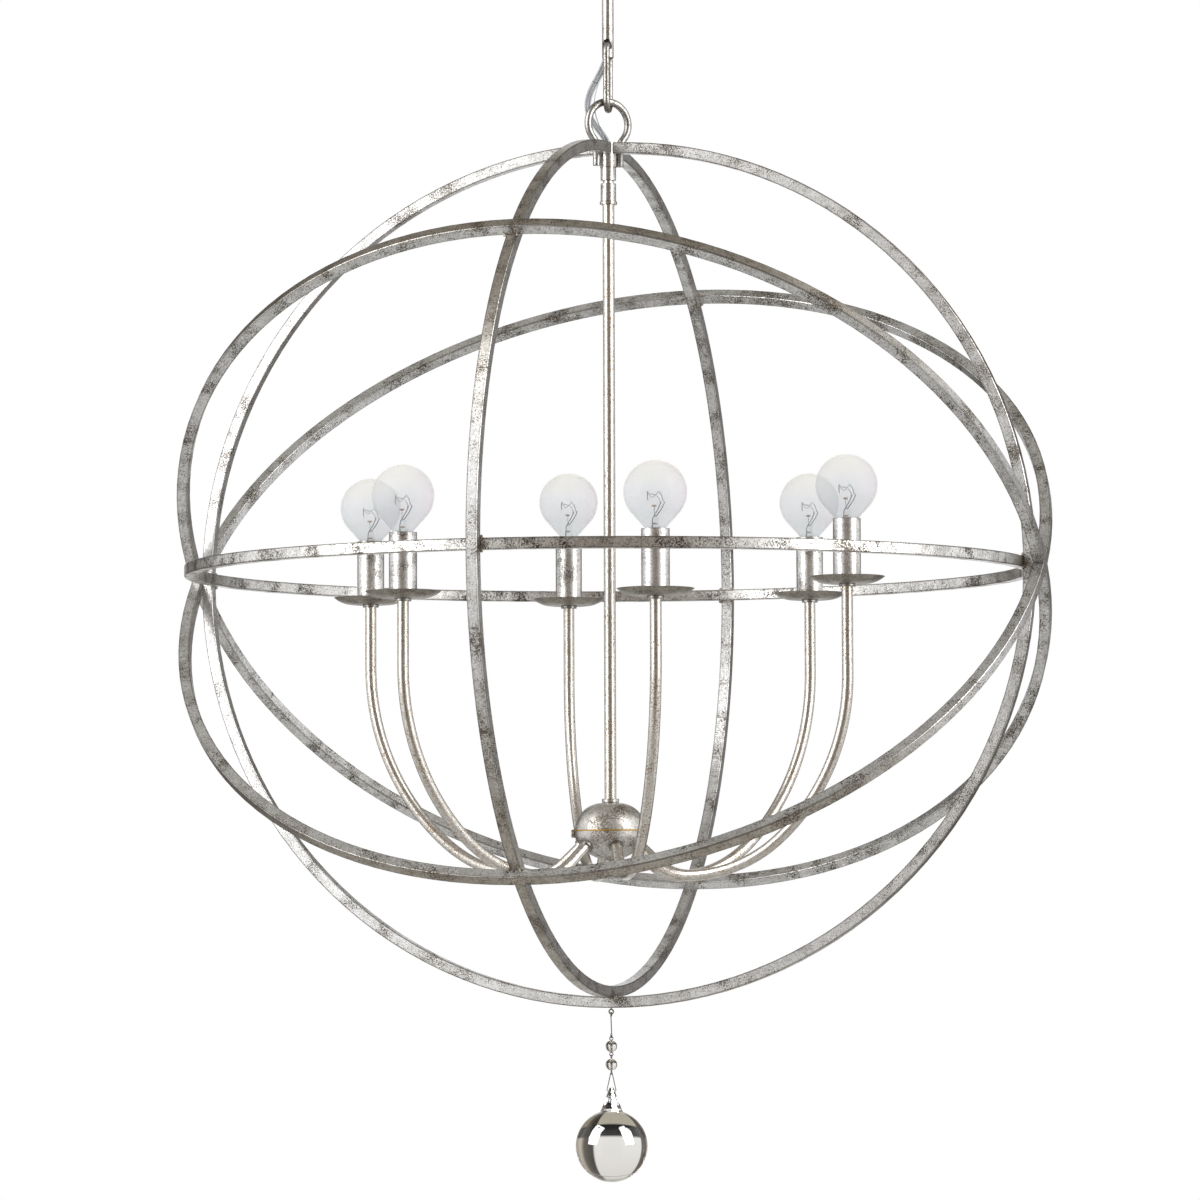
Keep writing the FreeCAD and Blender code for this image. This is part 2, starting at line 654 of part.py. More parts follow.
def arms_and_hub():
    """Arm hub shells, the six arms with their collars, the tie rod, the finial and the wires."""
    side, crown = dome_profile(0)
    inner_side, inner_crown = dome_profile(dome_sheet)
    dome = spun([side, crown, (crown[2][0], inner_crown[2][1]), tuple(reversed(inner_crown)),
                 tuple(reversed(inner_side))])
    hole, wall = stem_bore / 2, bowl_wall

    def on_bowl(x, radius):
        return (x, bowl_centre_z - math.sqrt(radius ** 2 - x ** 2))

    outer = (on_bowl(hub_r, bowl_sphere_r), on_bowl(hub_r / 2, bowl_sphere_r), on_bowl(hole, bowl_sphere_r))
    inner_r = bowl_sphere_r - wall
    inner = (on_bowl(hole, inner_r), on_bowl(hub_r / 2, inner_r), on_bowl(hub_r - wall, inner_r))
    bowl = spun([inner, (hub_r - wall, seam_z), (hub_r, seam_z), outer])
    arms, collars, wires = [], [], []
    corners = arm_corners(0, 0)
    down = (corners[1] - corners[0]).normalize()
    for k in range(arm_count):
        outside = arm_tube_solid(k, arm_tube / 2)
        inside = arm_tube_solid(k, arm_bore / 2)
        arms.append(turned(outside.cut(inside), arm_heading(k)))
        bowl = bowl.cut(turned(outside, arm_heading(k)))
        ring = Part.makeCylinder(arm_collar_d / 2, arm_collar_reach(), corners[0], down)
        collars.append(turned(ring.cut(outside), arm_heading(k)))
        path = arm_corners(lamp_lift[k], lamp_reach[k])
        path[0] = path[0] - down * (path[0].x - wire_from_axis) / down.x
        path[-1] = path[-1] + Z * (pan_sheet + arm_end_below_pan + wire_top_above_seat)
        wire = swept(bent_path(path, arm_bends(lamp_reach[k])), wire_d / 2)
        wires.append(turned(wire, arm_heading(k)))
    outer_shell = spun([(0.0, bowl_bottom_z), (0.0, seam_z), (hub_r, seam_z), outer])
    collars = [collar.cut(outer_shell) for collar in collars]
    for k, arm in enumerate(arms):
        nodes["arm_%d" % (k + 1)] = arm
    nodes["arm_collars"] = Part.makeCompound(collars)
    screw_way = heading(side_screw_heading)
    screw_z = (seam_z + band_z) / 2
    screw_end = screw_way * (hub_r - 2 * wall) + Z * screw_z
    nodes["hub_body"] = bowl.cut(Part.makeCylinder(side_screw_d / 2, 2 * wall, screw_end, screw_way))
    head_at = screw_way * (hub_r + side_screw_gap) + Z * screw_z
    head = Part.makeCylinder(side_screw_head_d / 2, side_screw_head, head_at, screw_way)
    rim = [e for e in head.Edges if isinstance(e.Curve, Part.Circle)
           and e.CenterOfMass.dot(screw_way) > hub_r + side_screw_head / 2]
    head = head.makeFillet(side_screw_head / 3, rim)
    stub = Part.makeCylinder(side_screw_d / 2, 2 * side_screw_gap + 2 * wall, screw_end, screw_way)
    nodes["hub_side_screw"] = head.fuse(stub).removeSplitter()
    nodes["hub_dome"] = dome
    collar_z = crown[2][1]
    nodes["stem_collar"] = tube(stem_collar_d / 2, stem_d / 2, collar_z, collar_z + stem_collar)
    finial_z = bowl_bottom_z - finial_neck - finial_d / 2 + finial_neck_sunk
    knob = Part.makeSphere(finial_d / 2, Vector(0, 0, finial_z))
    finial_top_z = bowl_bottom_z + finial_neck
    knob = knob.fuse(rod(finial_neck_d / 2, finial_z, finial_top_z)).removeSplitter()
    nodes["hub_finial"] = knob.cut(rod(hole, finial_z, finial_top_z)).cut(outer_shell)
    nodes["hub_tie_rod"] = rod(stem_bore / 2, finial_z, tie_rod_top_z)
    wires.append(rod(wire_d / 2, tie_rod_top_z, hub_bushing_bottom_z))
    nodes["inner_wires"] = Part.makeCompound(wires)


def arm_collar_reach():
    """Distance along the arm's root from its inner end to the collar's outer end."""
    corners = arm_corners(0, 0)
    down = (corners[1] - corners[0]).normalize()
    centre = Vector(0, 0, bowl_centre_z)
    offset = corners[0] - centre
    along = offset.dot(down)
    return -along + math.sqrt(along ** 2 - offset.dot(offset) + bowl_sphere_r ** 2) + arm_collar / 2


def globe_side(r, neck):
    """Where a straight side from the neck meets the round globe smoothly: its radius and height."""
    depth = bulb_centre_above_seat - cap_top_above_seat
    turn = math.atan2(depth, neck) - math.acos(r / math.hypot(depth, neck))
    return (r * math.cos(turn), bulb_centre_above_seat - r * math.sin(turn))


def lamp_parts():
    """One lamp on its pan floor at the origin: pan, collar, nipple, socket, sleeve and bulb."""
    flat, rim, sheet = pan_floor_d / 2, pan_d / 2, pan_sheet
    hole = lamp_nipple_d / 2 + running_gap
    top = ((flat, 0.0), ((flat + rim) / 2 + pan_flare, pan_depth / 4), (rim - sheet, pan_depth))
    under = ((rim, pan_depth - pan_lip), ((flat + rim) / 2 + pan_flare * 1.2, pan_depth / 4 - sheet),
             (flat, -sheet))
    pan = spun([(hole, -sheet), (hole, 0.0), top, under])
    seat = -sheet - arm_end_below_pan
    collar = tube(pan_collar_d / 2, arm_tube / 2, -sheet - pan_collar, seat)
    collar = collar.fuse(tube(pan_collar_d / 2, hole, seat, -sheet)).removeSplitter()
    nipple = tube(lamp_nipple_d / 2, lamp_nipple_bore / 2, seat - lamp_nipple_in_arm, lamp_nipple_in_socket)
    contact = cap_top_above_seat - cap_height
    socket = rod(socket_d / 2, 0, socket_height)
    socket = socket.cut(rod(lamp_nipple_d / 2, 0, lamp_nipple_in_socket))
    socket = socket.cut(rod(wire_d / 2 + loose_gap, lamp_nipple_in_socket, contact - socket_contact))
    socket = socket.cut(rod(cap_d / 2 + loose_gap, contact, socket_height))
    sleeve = tube(sleeve_d / 2, sleeve_d / 2 - sleeve_wall, 0, sleeve_height)
    centre, r, neck = bulb_centre_above_seat, bulb_d / 2, bulb_neck_d / 2
    inner_r, inner_neck = r - bulb_wall, neck - bulb_wall
    glass = spun([(neck, cap_top_above_seat), (globe_side(r, neck), (r, centre), (0.0, centre + r)),
                  ((0.0, centre + inner_r), (inner_r, centre), globe_side(inner_r, inner_neck)),
                  (inner_neck, cap_top_above_seat)])
    cap_r, tip_r = cap_d / 2, cap_tip_d / 2
    top_z, low = cap_top_above_seat, contact + cap_tip
    cap = spun([(0.0, contact), (tip_r, contact), (cap_r, low), (cap_r, top_z), (cap_r - cap_wall, top_z),
                (cap_r - cap_wall, low + 1), (0.0, low + 1)])
    foot_z = top_z - mount_foot
    mount = rod(cap_r - cap_wall, foot_z, foot_z + mount_foot / 2)
    mount = mount.fuse(rod(mount_stem_d / 2, foot_z, top_z + mount_stem_height))
    for side in (-1, 1):
        foot = Vector(0, 0, top_z + mount_stem_height - 1)
        tip = Vector(side * support_spread / 2, 0, top_z + mount_stem_height + support_height)
        mount = mount.fuse(Part.makeCylinder(support_wire / 2, foot.distanceToPoint(tip), foot, tip - foot))
    filament = [Vector(-support_spread / 2, 0, 0), Vector(-support_spread / 4, 0, filament_rise),
                Vector(0, 0, -filament_rise / 3), Vector(support_spread / 4, 0, filament_rise),
                Vector(support_spread / 2, 0, 0)]
    lift = Vector(0, 0, top_z + mount_stem_height + support_height)
    for a, b in zip(filament, filament[1:]):
        mount = mount.fuse(Part.makeCylinder(support_wire / 2, a.distanceToPoint(b), a + lift, b - a))
    return {"drip_pans": pan, "pan_collars": collar, "lamp_nipples": nipple, "lamp_sockets": socket,
            "candle_sleeves": sleeve, "bulb_caps": cap, "bulb_mounts": mount.removeSplitter(), "bulb": glass}


def lamps():
    parts = lamp_parts()
    groups = {name: [] for name in parts if name != "bulb"}
    for k in range(arm_count):
        lamp_r = lamp_circle_r + lamp_reach[k]
        at = heading(arm_heading(k)) * lamp_r + Z * (pan_seat_z + lamp_lift[k])
        for name, shape in parts.items():
            copy = turned(shape, arm_heading(k)).translated(at)
            if name == "bulb":
                nodes["bulb_%d" % (k + 1)] = copy
            else:
                groups[name].append(copy)
    for name, copies in groups.items():
        nodes[name] = Part.makeCompound(copies)


def eye(radius, wire, centre_z, across_x):
    """Small wire ring in the XZ plane, or in the YZ plane."""
    return Part.makeTorus(radius, wire / 2, Vector(0, 0, centre_z), Y if across_x else X)


def drop_heights():
    """Centres of the small rings, the beads and the ball, hung one on another from the eyelet."""
    z = {"eyelet": orb_bottom_z - eyelet_r - eyelet_wire}
    z["pin_pivot"] = z["eyelet"] - eyelet_r
    z["pin_top"] = z["pin_pivot"] + (eyelet_wire + pin_wire) / 2 + small_hang_gap - pin_eye_r
    z["pin_low"] = z["pin_top"] - 2 * pin_eye_r - pin_length
    z["upper_pivot"] = z["pin_low"] - pin_eye_r
    pitch = bead_eye_r + bead_wire / 4
    z["upper_eye"] = z["upper_pivot"] + (pin_wire + bead_wire) / 2 + small_hang_gap - bead_eye_r
    z["upper_bead"] = z["upper_eye"] - pitch - bead_d / 2
    z["upper_low"] = z["upper_bead"] - bead_d / 2 - pitch
    z["lower_pivot"] = z["upper_low"] - bead_eye_r
    z["lower_eye"] = z["lower_pivot"] + bead_wire + small_hang_gap - bead_eye_r
    z["lower_bead"] = z["lower_eye"] - pitch - bead_d / 2
    z["lower_low"] = z["lower_bead"] - bead_d / 2 - pitch
    z["ball_pivot"] = z["lower_low"] - bead_eye_r
    z["bail_top"] = z["ball_pivot"] + (bead_wire + bail_wire) / 2 + small_hang_gap
    z["prism_hole"] = z["bail_top"] - bail_height
    z["prism_top"] = z["prism_hole"] + prism_hole_below_top
    z["ball"] = z["prism_top"] - prism_height - ball_d / 2 + prism_bowl
    return z


def bead_and_wire(bead_z, top_eye_z, low_eye_z, across_x):
    bead = Part.makeSphere(bead_d / 2, Vector(0, 0, bead_z))
    bead = bead.cut(rod(bead_hole_d / 2, bead_z - bead_d, bead_z + bead_d))
    wire = rod(bead_wire / 2, low_eye_z + bead_eye_r, top_eye_z - bead_eye_r)
    for z in (top_eye_z, low_eye_z):
        wire = wire.fuse(eye(bead_eye_r, bead_wire, z, across_x))
    return bead, wire.removeSplitter()


def crystal_drop():
    """Eyelet, pin, two beads on wires, bail, prism and ball; each swings across the one above."""
    z = drop_heights()
    post = rod(eyelet_wire / 2, z["eyelet"] + eyelet_r, orb_bottom_z + eyelet_in_bar)
    eyelet = eye(eyelet_r, eyelet_wire, z["eyelet"], True).fuse(post)
    nodes["drop_eyelet"] = eyelet.removeSplitter().cut(nodes["side_hoop"])
    start = Vector(0, -pin_eye_r * pin_lean_share, z["pin_top"] - pin_eye_r * pin_join_share)
    end = Vector(0, pin_eye_r * pin_lean_share, z["pin_low"] + pin_eye_r * pin_join_share)
    shank = Part.makeCylinder(pin_wire / 2, start.distanceToPoint(end), start, end - start)
    pin = shank.fuse(eye(pin_eye_r, pin_wire, z["pin_top"], False))
    nodes["drop_pin"] = pin.fuse(eye(pin_eye_r, pin_wire, z["pin_low"], False)).removeSplitter()
    bead, wire = bead_and_wire(z["upper_bead"], z["upper_eye"], z["upper_low"], True)
    nodes["upper_bead"], nodes["upper_bead_wire"] = bead, wire
    bead, wire = bead_and_wire(z["lower_bead"], z["lower_eye"], z["lower_low"], False)
    nodes["lower_bead"], nodes["lower_bead_wire"] = bead, wire
    nodes["drop_bail"] = bail(z)
    nodes["drop_prism"] = prism(z)
    nodes["drop_ball"] = Part.makeSphere(ball_d / 2, Vector(0, 0, z["ball"]))


def bail(z):
    """Open wire triangle whose ends turn in to the prism's cross hole."""
    half, wire_r, bend = bail_spread / 2, bail_wire / 2, bail_bend_r
    low, top = z["prism_hole"], z["bail_top"]
    shoulder = Vector(bail_crown_width / 2, 0, top - bail_crown_depth)
    corner = Vector(bail_crown_flat / 2, 0, top)
    mirror = Rotation(Z, 180)
    sides = []
    for way in (-1, 1):
        path = [Vector(way * bail_tip_gap / 2, 0, low), Vector(way * half, 0, low),
                shoulder if way > 0 else mirror.multVec(shoulder)]
        sides.append(swept(bent_path(path, [bend]), wire_r))
    crown_path = [mirror.multVec(shoulder), mirror.multVec(corner), corner, shoulder]
    crown = swept(bent_path(crown_path, [bail_crown_bend_r] * 2), wire_r)
    return crown.fuse(sides).removeSplitter()


def prism(z):
    """Faceted cone with a cross hole near its tip and a hollow foot that sits on the ball."""
    def ring(diameter, height):
        corners = [heading(360.0 / prism_sides * k) * (diameter / 2) for k in range(prism_sides + 1)]
        return Part.makePolygon([corner + Z * height for corner in corners])
    foot = z["prism_top"] - prism_height
    cone = Part.makeLoft([ring(prism_d, foot), ring(prism_top_d, z["prism_top"])], True, True)
    hole_start = Vector(-prism_d / 2, 0, z["prism_hole"])
    hole = Part.makeCylinder(bail_wire / 2 + running_gap, prism_d, hole_start, X)
    return cone.cut(hole).cut(Part.makeSphere(ball_d / 2, Vector(0, 0, z["ball"])))


def route_point(point):
    """A cord point given as right, behind and above the top hub."""
    right, behind, above = point
    return heading(cord_heading) * right + heading(cord_heading + 90) * behind + Z * (hub_post_top_z + above)


def cord_path(points):
    """Straight runs joined by arcs, each as large as its two runs allow."""
    radii = []
    for a, b, c in zip(points, points[1:], points[2:]):
        turn = (b - a).getAngle(c - b)
        shorter = min(a.distanceToPoint(b), b.distanceToPoint(c))
        radii.append(0.45 * shorter / math.tan(turn / 2))
    print("cord bend radii, mm:", [round(r, 1) for r in radii], "least", cord_least_bend * cord_d)
    return bent_path(points, radii)


def supply_cord():
    """The cord that hangs free between the rod's outlet and the top hub, in two lengths."""
    face, out = rod_cord_path()[2:]
    split = route_point(cord_split)
    upper = [face, face + out * cord_straight] + [route_point(p) for p in cord_upper_points] + [split]
    cord_end = Vector(0, 0, hub_bushing_bottom_z + hub_bushing_lip)
    lower = [split] + [route_point(p) for p in cord_lower_points] + [cord_end]
    for name, points in (("supply_cord_upper", upper), ("supply_cord_lower", lower)):
        edges = cord_path(points)
        solid = swept(edges, cord_d / 2)
        length = sum(edge.Length for edge in edges)
        share = solid.Volume / (math.pi * cord_d ** 2 / 4 * length)
        print(name, "length %.1f mm, volume over section times length %.4f" % (length, share))
        nodes[name] = solid


def export():
    for name, shape in nodes.items():
        solids = shape.Solids
        if not solids or not shape.isValid():
            print("WARNING", name, "solids", len(solids), "valid", shape.isValid())
        whole = solids[0] if len(solids) == 1 else Part.makeCompound(solids)
        whole.exportStep("parts/" + name + ".step")
    print(len(nodes), "nodes,", sum(len(s.Solids) for s in nodes.values()), "solids")


ceiling_set()
down_rod()
hanging_link()
hanging_loop()
orb()
top_hub()
arms_and_hub()
lamps()
crystal_drop()
supply_cord()
export()
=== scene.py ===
# %% [markdown]
# # Orb chandelier
# Five hoops of square steel bar are welded into an orb round a six-arm candelabra. A link and a rod
# carry it from the ceiling, a clear cord feeds it, and a crystal drop hangs below.
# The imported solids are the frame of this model. This file gives them their finish, and adds what
# a metalworker's drawing leaves out: the cord's strands, weld beads, lamp filaments and real glass.

# %% Load the frame
import bmesh
import bpy
import math
from mathutils import Matrix, Vector, noise


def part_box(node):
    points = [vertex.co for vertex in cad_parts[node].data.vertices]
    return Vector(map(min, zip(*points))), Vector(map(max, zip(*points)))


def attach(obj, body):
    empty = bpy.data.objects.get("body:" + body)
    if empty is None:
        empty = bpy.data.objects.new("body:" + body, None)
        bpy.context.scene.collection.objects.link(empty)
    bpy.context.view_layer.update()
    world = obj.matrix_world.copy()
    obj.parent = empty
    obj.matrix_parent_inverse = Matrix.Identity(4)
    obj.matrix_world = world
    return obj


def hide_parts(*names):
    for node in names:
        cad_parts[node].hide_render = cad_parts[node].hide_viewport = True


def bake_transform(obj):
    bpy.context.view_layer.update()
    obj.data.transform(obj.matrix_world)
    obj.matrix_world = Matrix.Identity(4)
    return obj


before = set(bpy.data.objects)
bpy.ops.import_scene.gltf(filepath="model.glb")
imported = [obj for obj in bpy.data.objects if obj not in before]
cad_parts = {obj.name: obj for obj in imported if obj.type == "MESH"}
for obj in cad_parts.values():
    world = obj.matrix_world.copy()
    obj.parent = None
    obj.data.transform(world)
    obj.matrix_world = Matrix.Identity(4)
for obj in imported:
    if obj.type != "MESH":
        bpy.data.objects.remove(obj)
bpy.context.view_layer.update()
scene = bpy.context.scene
mm = 0.001

# %% [markdown]
# The picture was taken with a long lens from a little below the orb's middle, and from the right of its
# front. A long lens keeps the hoops from bulging. The angles were found by fitting the five hoops to
# the ovals that they make in the picture, so they are stated here as the photographer would state them.

# %% Camera
orb_low, orb_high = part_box("side_hoop")
orb_centre = Vector((0, 0, (orb_low.z + orb_high.z) / 2))
camera_azimuth = math.radians(17.46)
camera_elevation = math.radians(-3.75)
camera_roll = math.radians(-0.2)
camera_distance = 4.686
picture_size = 1200
focal_pixels = 5481
optical_centre = (609.7, 573.4)

behind_camera = Vector((math.sin(camera_azimuth) * math.cos(camera_elevation),
                        -math.cos(camera_azimuth) * math.cos(camera_elevation),
                        math.sin(camera_elevation)))
level_right = Vector((math.cos(camera_azimuth), math.sin(camera_azimuth), 0))
level_up = behind_camera.cross(level_right)
picture_right = level_right * math.cos(camera_roll) + level_up * math.sin(camera_roll)
picture_up = level_up * math.cos(camera_roll) - level_right * math.sin(camera_roll)

camera_data = bpy.data.cameras.new("camera")
camera = bpy.data.objects.new("camera", camera_data)
scene.collection.objects.link(camera)
turn = Matrix((picture_right, picture_up, behind_camera)).transposed()
camera.matrix_world = Matrix.Translation(orb_centre + behind_camera * camera_distance) @ turn.to_4x4()
camera_data.lens = focal_pixels * camera_data.sensor_width / picture_size
camera_data.shift_x = (picture_size / 2 - optical_centre[0]) / picture_size
camera_data.shift_y = (optical_centre[1] - picture_size / 2) / picture_size
scene.camera = camera
print("lens %.1f mm, shift %.4f %.4f" % (camera_data.lens, camera_data.shift_x, camera_data.shift_y))

# %% [markdown]
# The supply cord is a clear two-conductor lamp cord. It comes out of the back of the rod, hangs in a slack
# bow behind the link and the loop, and goes down into the top hub. Its route is led by a few listed points,
# each given as millimetres to the right, behind and above the top of the hub.
# It crosses two joints, so it is made in two lengths that meet beside the link.

# %% Points of the cord's route
hub_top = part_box("top_hub")[1].z
cord_azimuth = math.radians(16.8)
cord_right = Vector((math.cos(cord_azimuth), math.sin(cord_azimuth), 0))
cord_behind = Vector((-cord_right.y, cord_right.x, 0))


def route_point(right, behind, above):
    """A point of a cord's route, from millimetres to metres in the object's own axes."""
    return cord_right * (right * mm) + cord_behind * (behind * mm) + Vector((0, 0, hub_top + above * mm))


cord_split = (-11.1, 9.1, 53.6)
upper_route = [(0, 9.49, 97.68), (0, 11.6, 93.15), (-0.3, 14.0, 85.5), (-1.4, 14.8, 76.0),
               (-4.4, 13.4, 67.0), (-8.6, 10.8, 58.5), cord_split]
lower_route = [cord_split, (-13.6, 7.4, 48.7), (-17.0, 4.6, 39.6), (-17.9, 2.6, 30.2), (-15.4, 1.2, 21.6),
               (-10.6, 0.6, 14.2), (-5.2, 0.2, 7.4), (0.0, 0.0, -0.9), (0.0, 0.0, -10.7)]
ground_split = (-8.0, 8.2, 53.6)
ground_upper = [(0.6, 9.9, 97.68), (0.5, 12.6, 92.0), (0.3, 15.6, 83.0), (-0.9, 15.9, 73.0),
                (-4.3, 11.9, 62.0), ground_split]
ground_lower = [ground_split, (-10.6, 5.6, 45.2), (-12.2, 3.8, 36.0), (-11.4, 2.8, 26.5), (-8.6, 2.0, 17.5),
                (-4.4, 1.4, 8.5), (-0.6, 1.0, 0.5), (0.2, 0.4, -9.5)]
print(len(upper_route) + len(lower_route) - 1, "points lead the cord")

# %% [markdown]
# A cord has no kinks, so the points aren't joined by straight lines. They are the control points of a NURBS
# spline, which runs smoothly between its two ends. Turning the curve into a mesh gives its points close
# together, and everything else about the cord follows them.

# %% The cord's route as smooth lines


def smooth_line(route):
    """Points along one smooth spline, in metres, that has the route's points as its control points."""
    curve = bpy.data.curves.new("route", "CURVE")
    curve.dimensions = "3D"
    curve.resolution_u = 12
    spline = curve.splines.new("NURBS")
    spline.points.add(len(route) - 1)
    for point, place in zip(spline.points, route):
        point.co = (*route_point(*place), 1)
    spline.order_u = 3
    spline.use_endpoint_u = True
    holder = bpy.data.objects.new("route", curve)
    mesh = bpy.data.meshes.new_from_object(holder)
    points = [vertex.co.copy() for vertex in mesh.vertices]
    bpy.data.objects.remove(holder)
    bpy.data.meshes.remove(mesh)
    return points


def line_length(points):
    """The length of a line through points, in metres."""
    return sum((b - a).length for a, b in zip(points, points[1:]))


lines = {name: smooth_line(route) for name, route in (
    ("supply_cord_upper", upper_route), ("supply_cord_lower", lower_route),
    ("ground_wire_upper", ground_upper), ("ground_wire_lower", ground_lower))}
for name, points in lines.items():
    print(name, "%.1f mm" % (line_length(points) / mm))

# %% [markdown]
# Round wire of any shape is easiest as a curve with a bevel: the curve says where the wire goes and the bevel
# how thick it is. Turning it into a mesh at once lets it be joined and dressed.
# A second helper puts any finished mesh in the scene and counts its faces.

# %% Helpers for wire and for showing a piece


def wire_mesh(name, paths, radius, sides=12):
    """One mesh of round wires, each a list of points in metres, closed at both ends."""
    curve = bpy.data.curves.new(name, "CURVE")
    curve.dimensions = "3D"
    curve.bevel_depth = radius
    curve.bevel_resolution = max(0, sides // 4 - 1)
    curve.use_fill_caps = True
    for path in paths:
        spline = curve.splines.new("POLY")
        spline.points.add(len(path) - 1)
        for point, place in zip(spline.points, path):
            point.co = (*place, 1)
    holder = bpy.data.objects.new(name, curve)
    mesh = bpy.data.meshes.new_from_object(holder)
    bpy.data.objects.remove(holder)
    mesh.name = name
    for face in mesh.polygons:
        face.use_smooth = True
    return mesh


def show(name, mesh, body=None):
    """Put a finished mesh in the scene as a piece, riding on a body if one is given."""
    piece = bpy.data.objects.new(name, mesh)
    scene.collection.objects.link(piece)
    if body:
        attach(piece, body)
    print(name, len(mesh.polygons), "faces")
    return piece


# %% [markdown]
# The jacket is two clear tubes side by side, as lamp cord is. Each holds a few twisted tinned strands, and
# a thin bare ground wire runs beside it. The two tubes overlap slightly, as the moulded web joins them.
# Both tubes and all strands follow the same route at a small offset. A strand's offset also turns as it goes,
# which is what twists it.

# %% A line beside another


def beside(points, offset, twist=0.0, turns=0.0):
    """A line that runs beside another at an offset, flat to the camera, and winds round it by turns."""
    moved = []
    whole = line_length(points)
    done = 0.0
    for k, point in enumerate(points):
        ahead = points[min(k + 1, len(points) - 1)] - points[max(k - 1, 0)]
        across = ahead.cross(cord_behind).normalized()
        out = across.cross(ahead).normalized()
        angle = twist + 2 * math.pi * turns * done / whole
        moved.append(point + (across * math.cos(angle) + out * math.sin(angle)) * offset)
        if k + 1 < len(points):
            done += (points[k + 1] - point).length
    return moved


# %% Cord jackets, strands and ground wire
jacket_radius = 1.55 * mm
jacket_spread = 1.25 * mm
strand_radius = 0.36 * mm
strand_lay = 140 * mm
strands_each = 3
ground_radius = 0.5 * mm
cord_bodies = {"supply_cord_upper": ("ceiling_set", "link"), "supply_cord_lower": ("link", "orb")}
cords = {}
for name, (body_before, body_after) in cord_bodies.items():
    line = lines[name]
    conductors = [beside(line, jacket_spread, side) for side in (0.0, math.pi)]
    jacket = show(name + "_jacket", wire_mesh(name + "_jacket", conductors, jacket_radius, 16))
    turns = line_length(line) / strand_lay
    wound = [beside(conductor, strand_radius * 1.15, 2 * math.pi * k / strands_each, turns)
             for conductor in conductors for k in range(strands_each)]
    strands = show(name + "_strands", wire_mesh(name + "_strands", wound, strand_radius, 8))
    ground_name = name.replace("supply_cord", "ground_wire")
    ground = show(ground_name, wire_mesh(ground_name, [lines[ground_name]], ground_radius, 8))
    for piece in (jacket, strands, ground):
        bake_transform(piece)
    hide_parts(name)
    cords[name] = (jacket, strands, ground)
    print(name, "declared %.1f mm long" % (line_length(line) / mm))

# %% [markdown]
# Materials. Colours are written as the eye reads them, in sRGB hex, and one function turns them into the
# linear numbers that shaders work with. One more function adds a node with its settings and links.

# %% Helpers for materials


def colour(hex_code):
    """sRGB hex to linear red, green, blue and alpha."""
    parts = [int(hex_code[k:k + 2], 16) / 255 for k in (1, 3, 5)]
    return [p / 12.92 if p <= 0.04045 else ((p + 0.055) / 1.055) ** 2.4 for p in parts] + [1.0]


def add(tree, kind, inputs=None, stops=(), **settings):
    """Add a node. Inputs are values or the sockets that feed them; stops are a colour ramp's."""
    node = tree.nodes.new(kind)
    for name, value in settings.items():
        setattr(node, name, value)
    for name, value in (inputs or {}).items():
        if isinstance(value, bpy.types.NodeSocket):
            tree.links.new(value, node.inputs[name])
        else:
            node.inputs[name].default_value = value
    for k, (position, tone) in enumerate(stops):
        ramp = node.color_ramp.elements
        stop = ramp[k] if k < 2 else ramp.new(position)
        stop.position = position
        stop.color = colour(tone)
    return node


def new_material(name):
    """A material with a node tree, its tree and its main shader."""
    material = bpy.data.materials.new(name)
    material.use_nodes = True
    tree = material.node_tree
    return material, tree, tree.nodes["Principled BSDF"]


# %% [markdown]
# The whole frame is steel under antique silver leaf. The leaf is a metal foil laid in small torn pieces over
# a brown size coat, rubbed with dark wax and sealed. So the tone drifts from pale silver to taupe
# over a centimetre or two, brown specks show where the foil broke, and the edges are rubbed through.
# Noises at real sizes do that, and a bevel normal that leaves the true one marks the edges. Real specks are
# finer, but under a millimetre they wouldn't show in the picture, so they are drawn as coarse as that.
# The faces of a hoop that point away from the orb's middle are browner, most of all where they look up or
# down.

# %% Silver leaf
grain_mm = 2.6
patch_mm = 22.0
worn_edge = 1.5 * mm
leaf_relief = 0.1 * mm


def browner_outer_faces(tree, place, true_normal):
    """The share of the browner tone: most on faces that point away from the orb's middle and also up or down.
    """
    from_middle = add(tree, "ShaderNodeVectorMath", {0: place, 1: orb_centre},
                      operation="SUBTRACT").outputs[0]
    outward = add(tree, "ShaderNodeVectorMath", {0: from_middle}, operation="NORMALIZE").outputs[0]
    faces_out = add(tree, "ShaderNodeVectorMath", {0: outward, 1: true_normal},
                    operation="DOT_PRODUCT").outputs["Value"]
    outer = add(tree, "ShaderNodeMapRange", {"Value": faces_out, "From Min": 0.55, "From Max": 0.85,
                                             "To Max": 0.85}).outputs["Result"]
    upright = add(tree, "ShaderNodeSeparateXYZ", {0: outward}).outputs["Z"]
    steep = add(tree, "ShaderNodeMath", {0: upright}, operation="ABSOLUTE").outputs[0]
    steep = add(tree, "ShaderNodeMapRange", {"Value": steep, "From Min": 0.2,
                                             "From Max": 0.6}).outputs["Result"]
    return add(tree, "ShaderNodeMath", {0: outer, 1: steep}, operation="MULTIPLY").outputs[0]


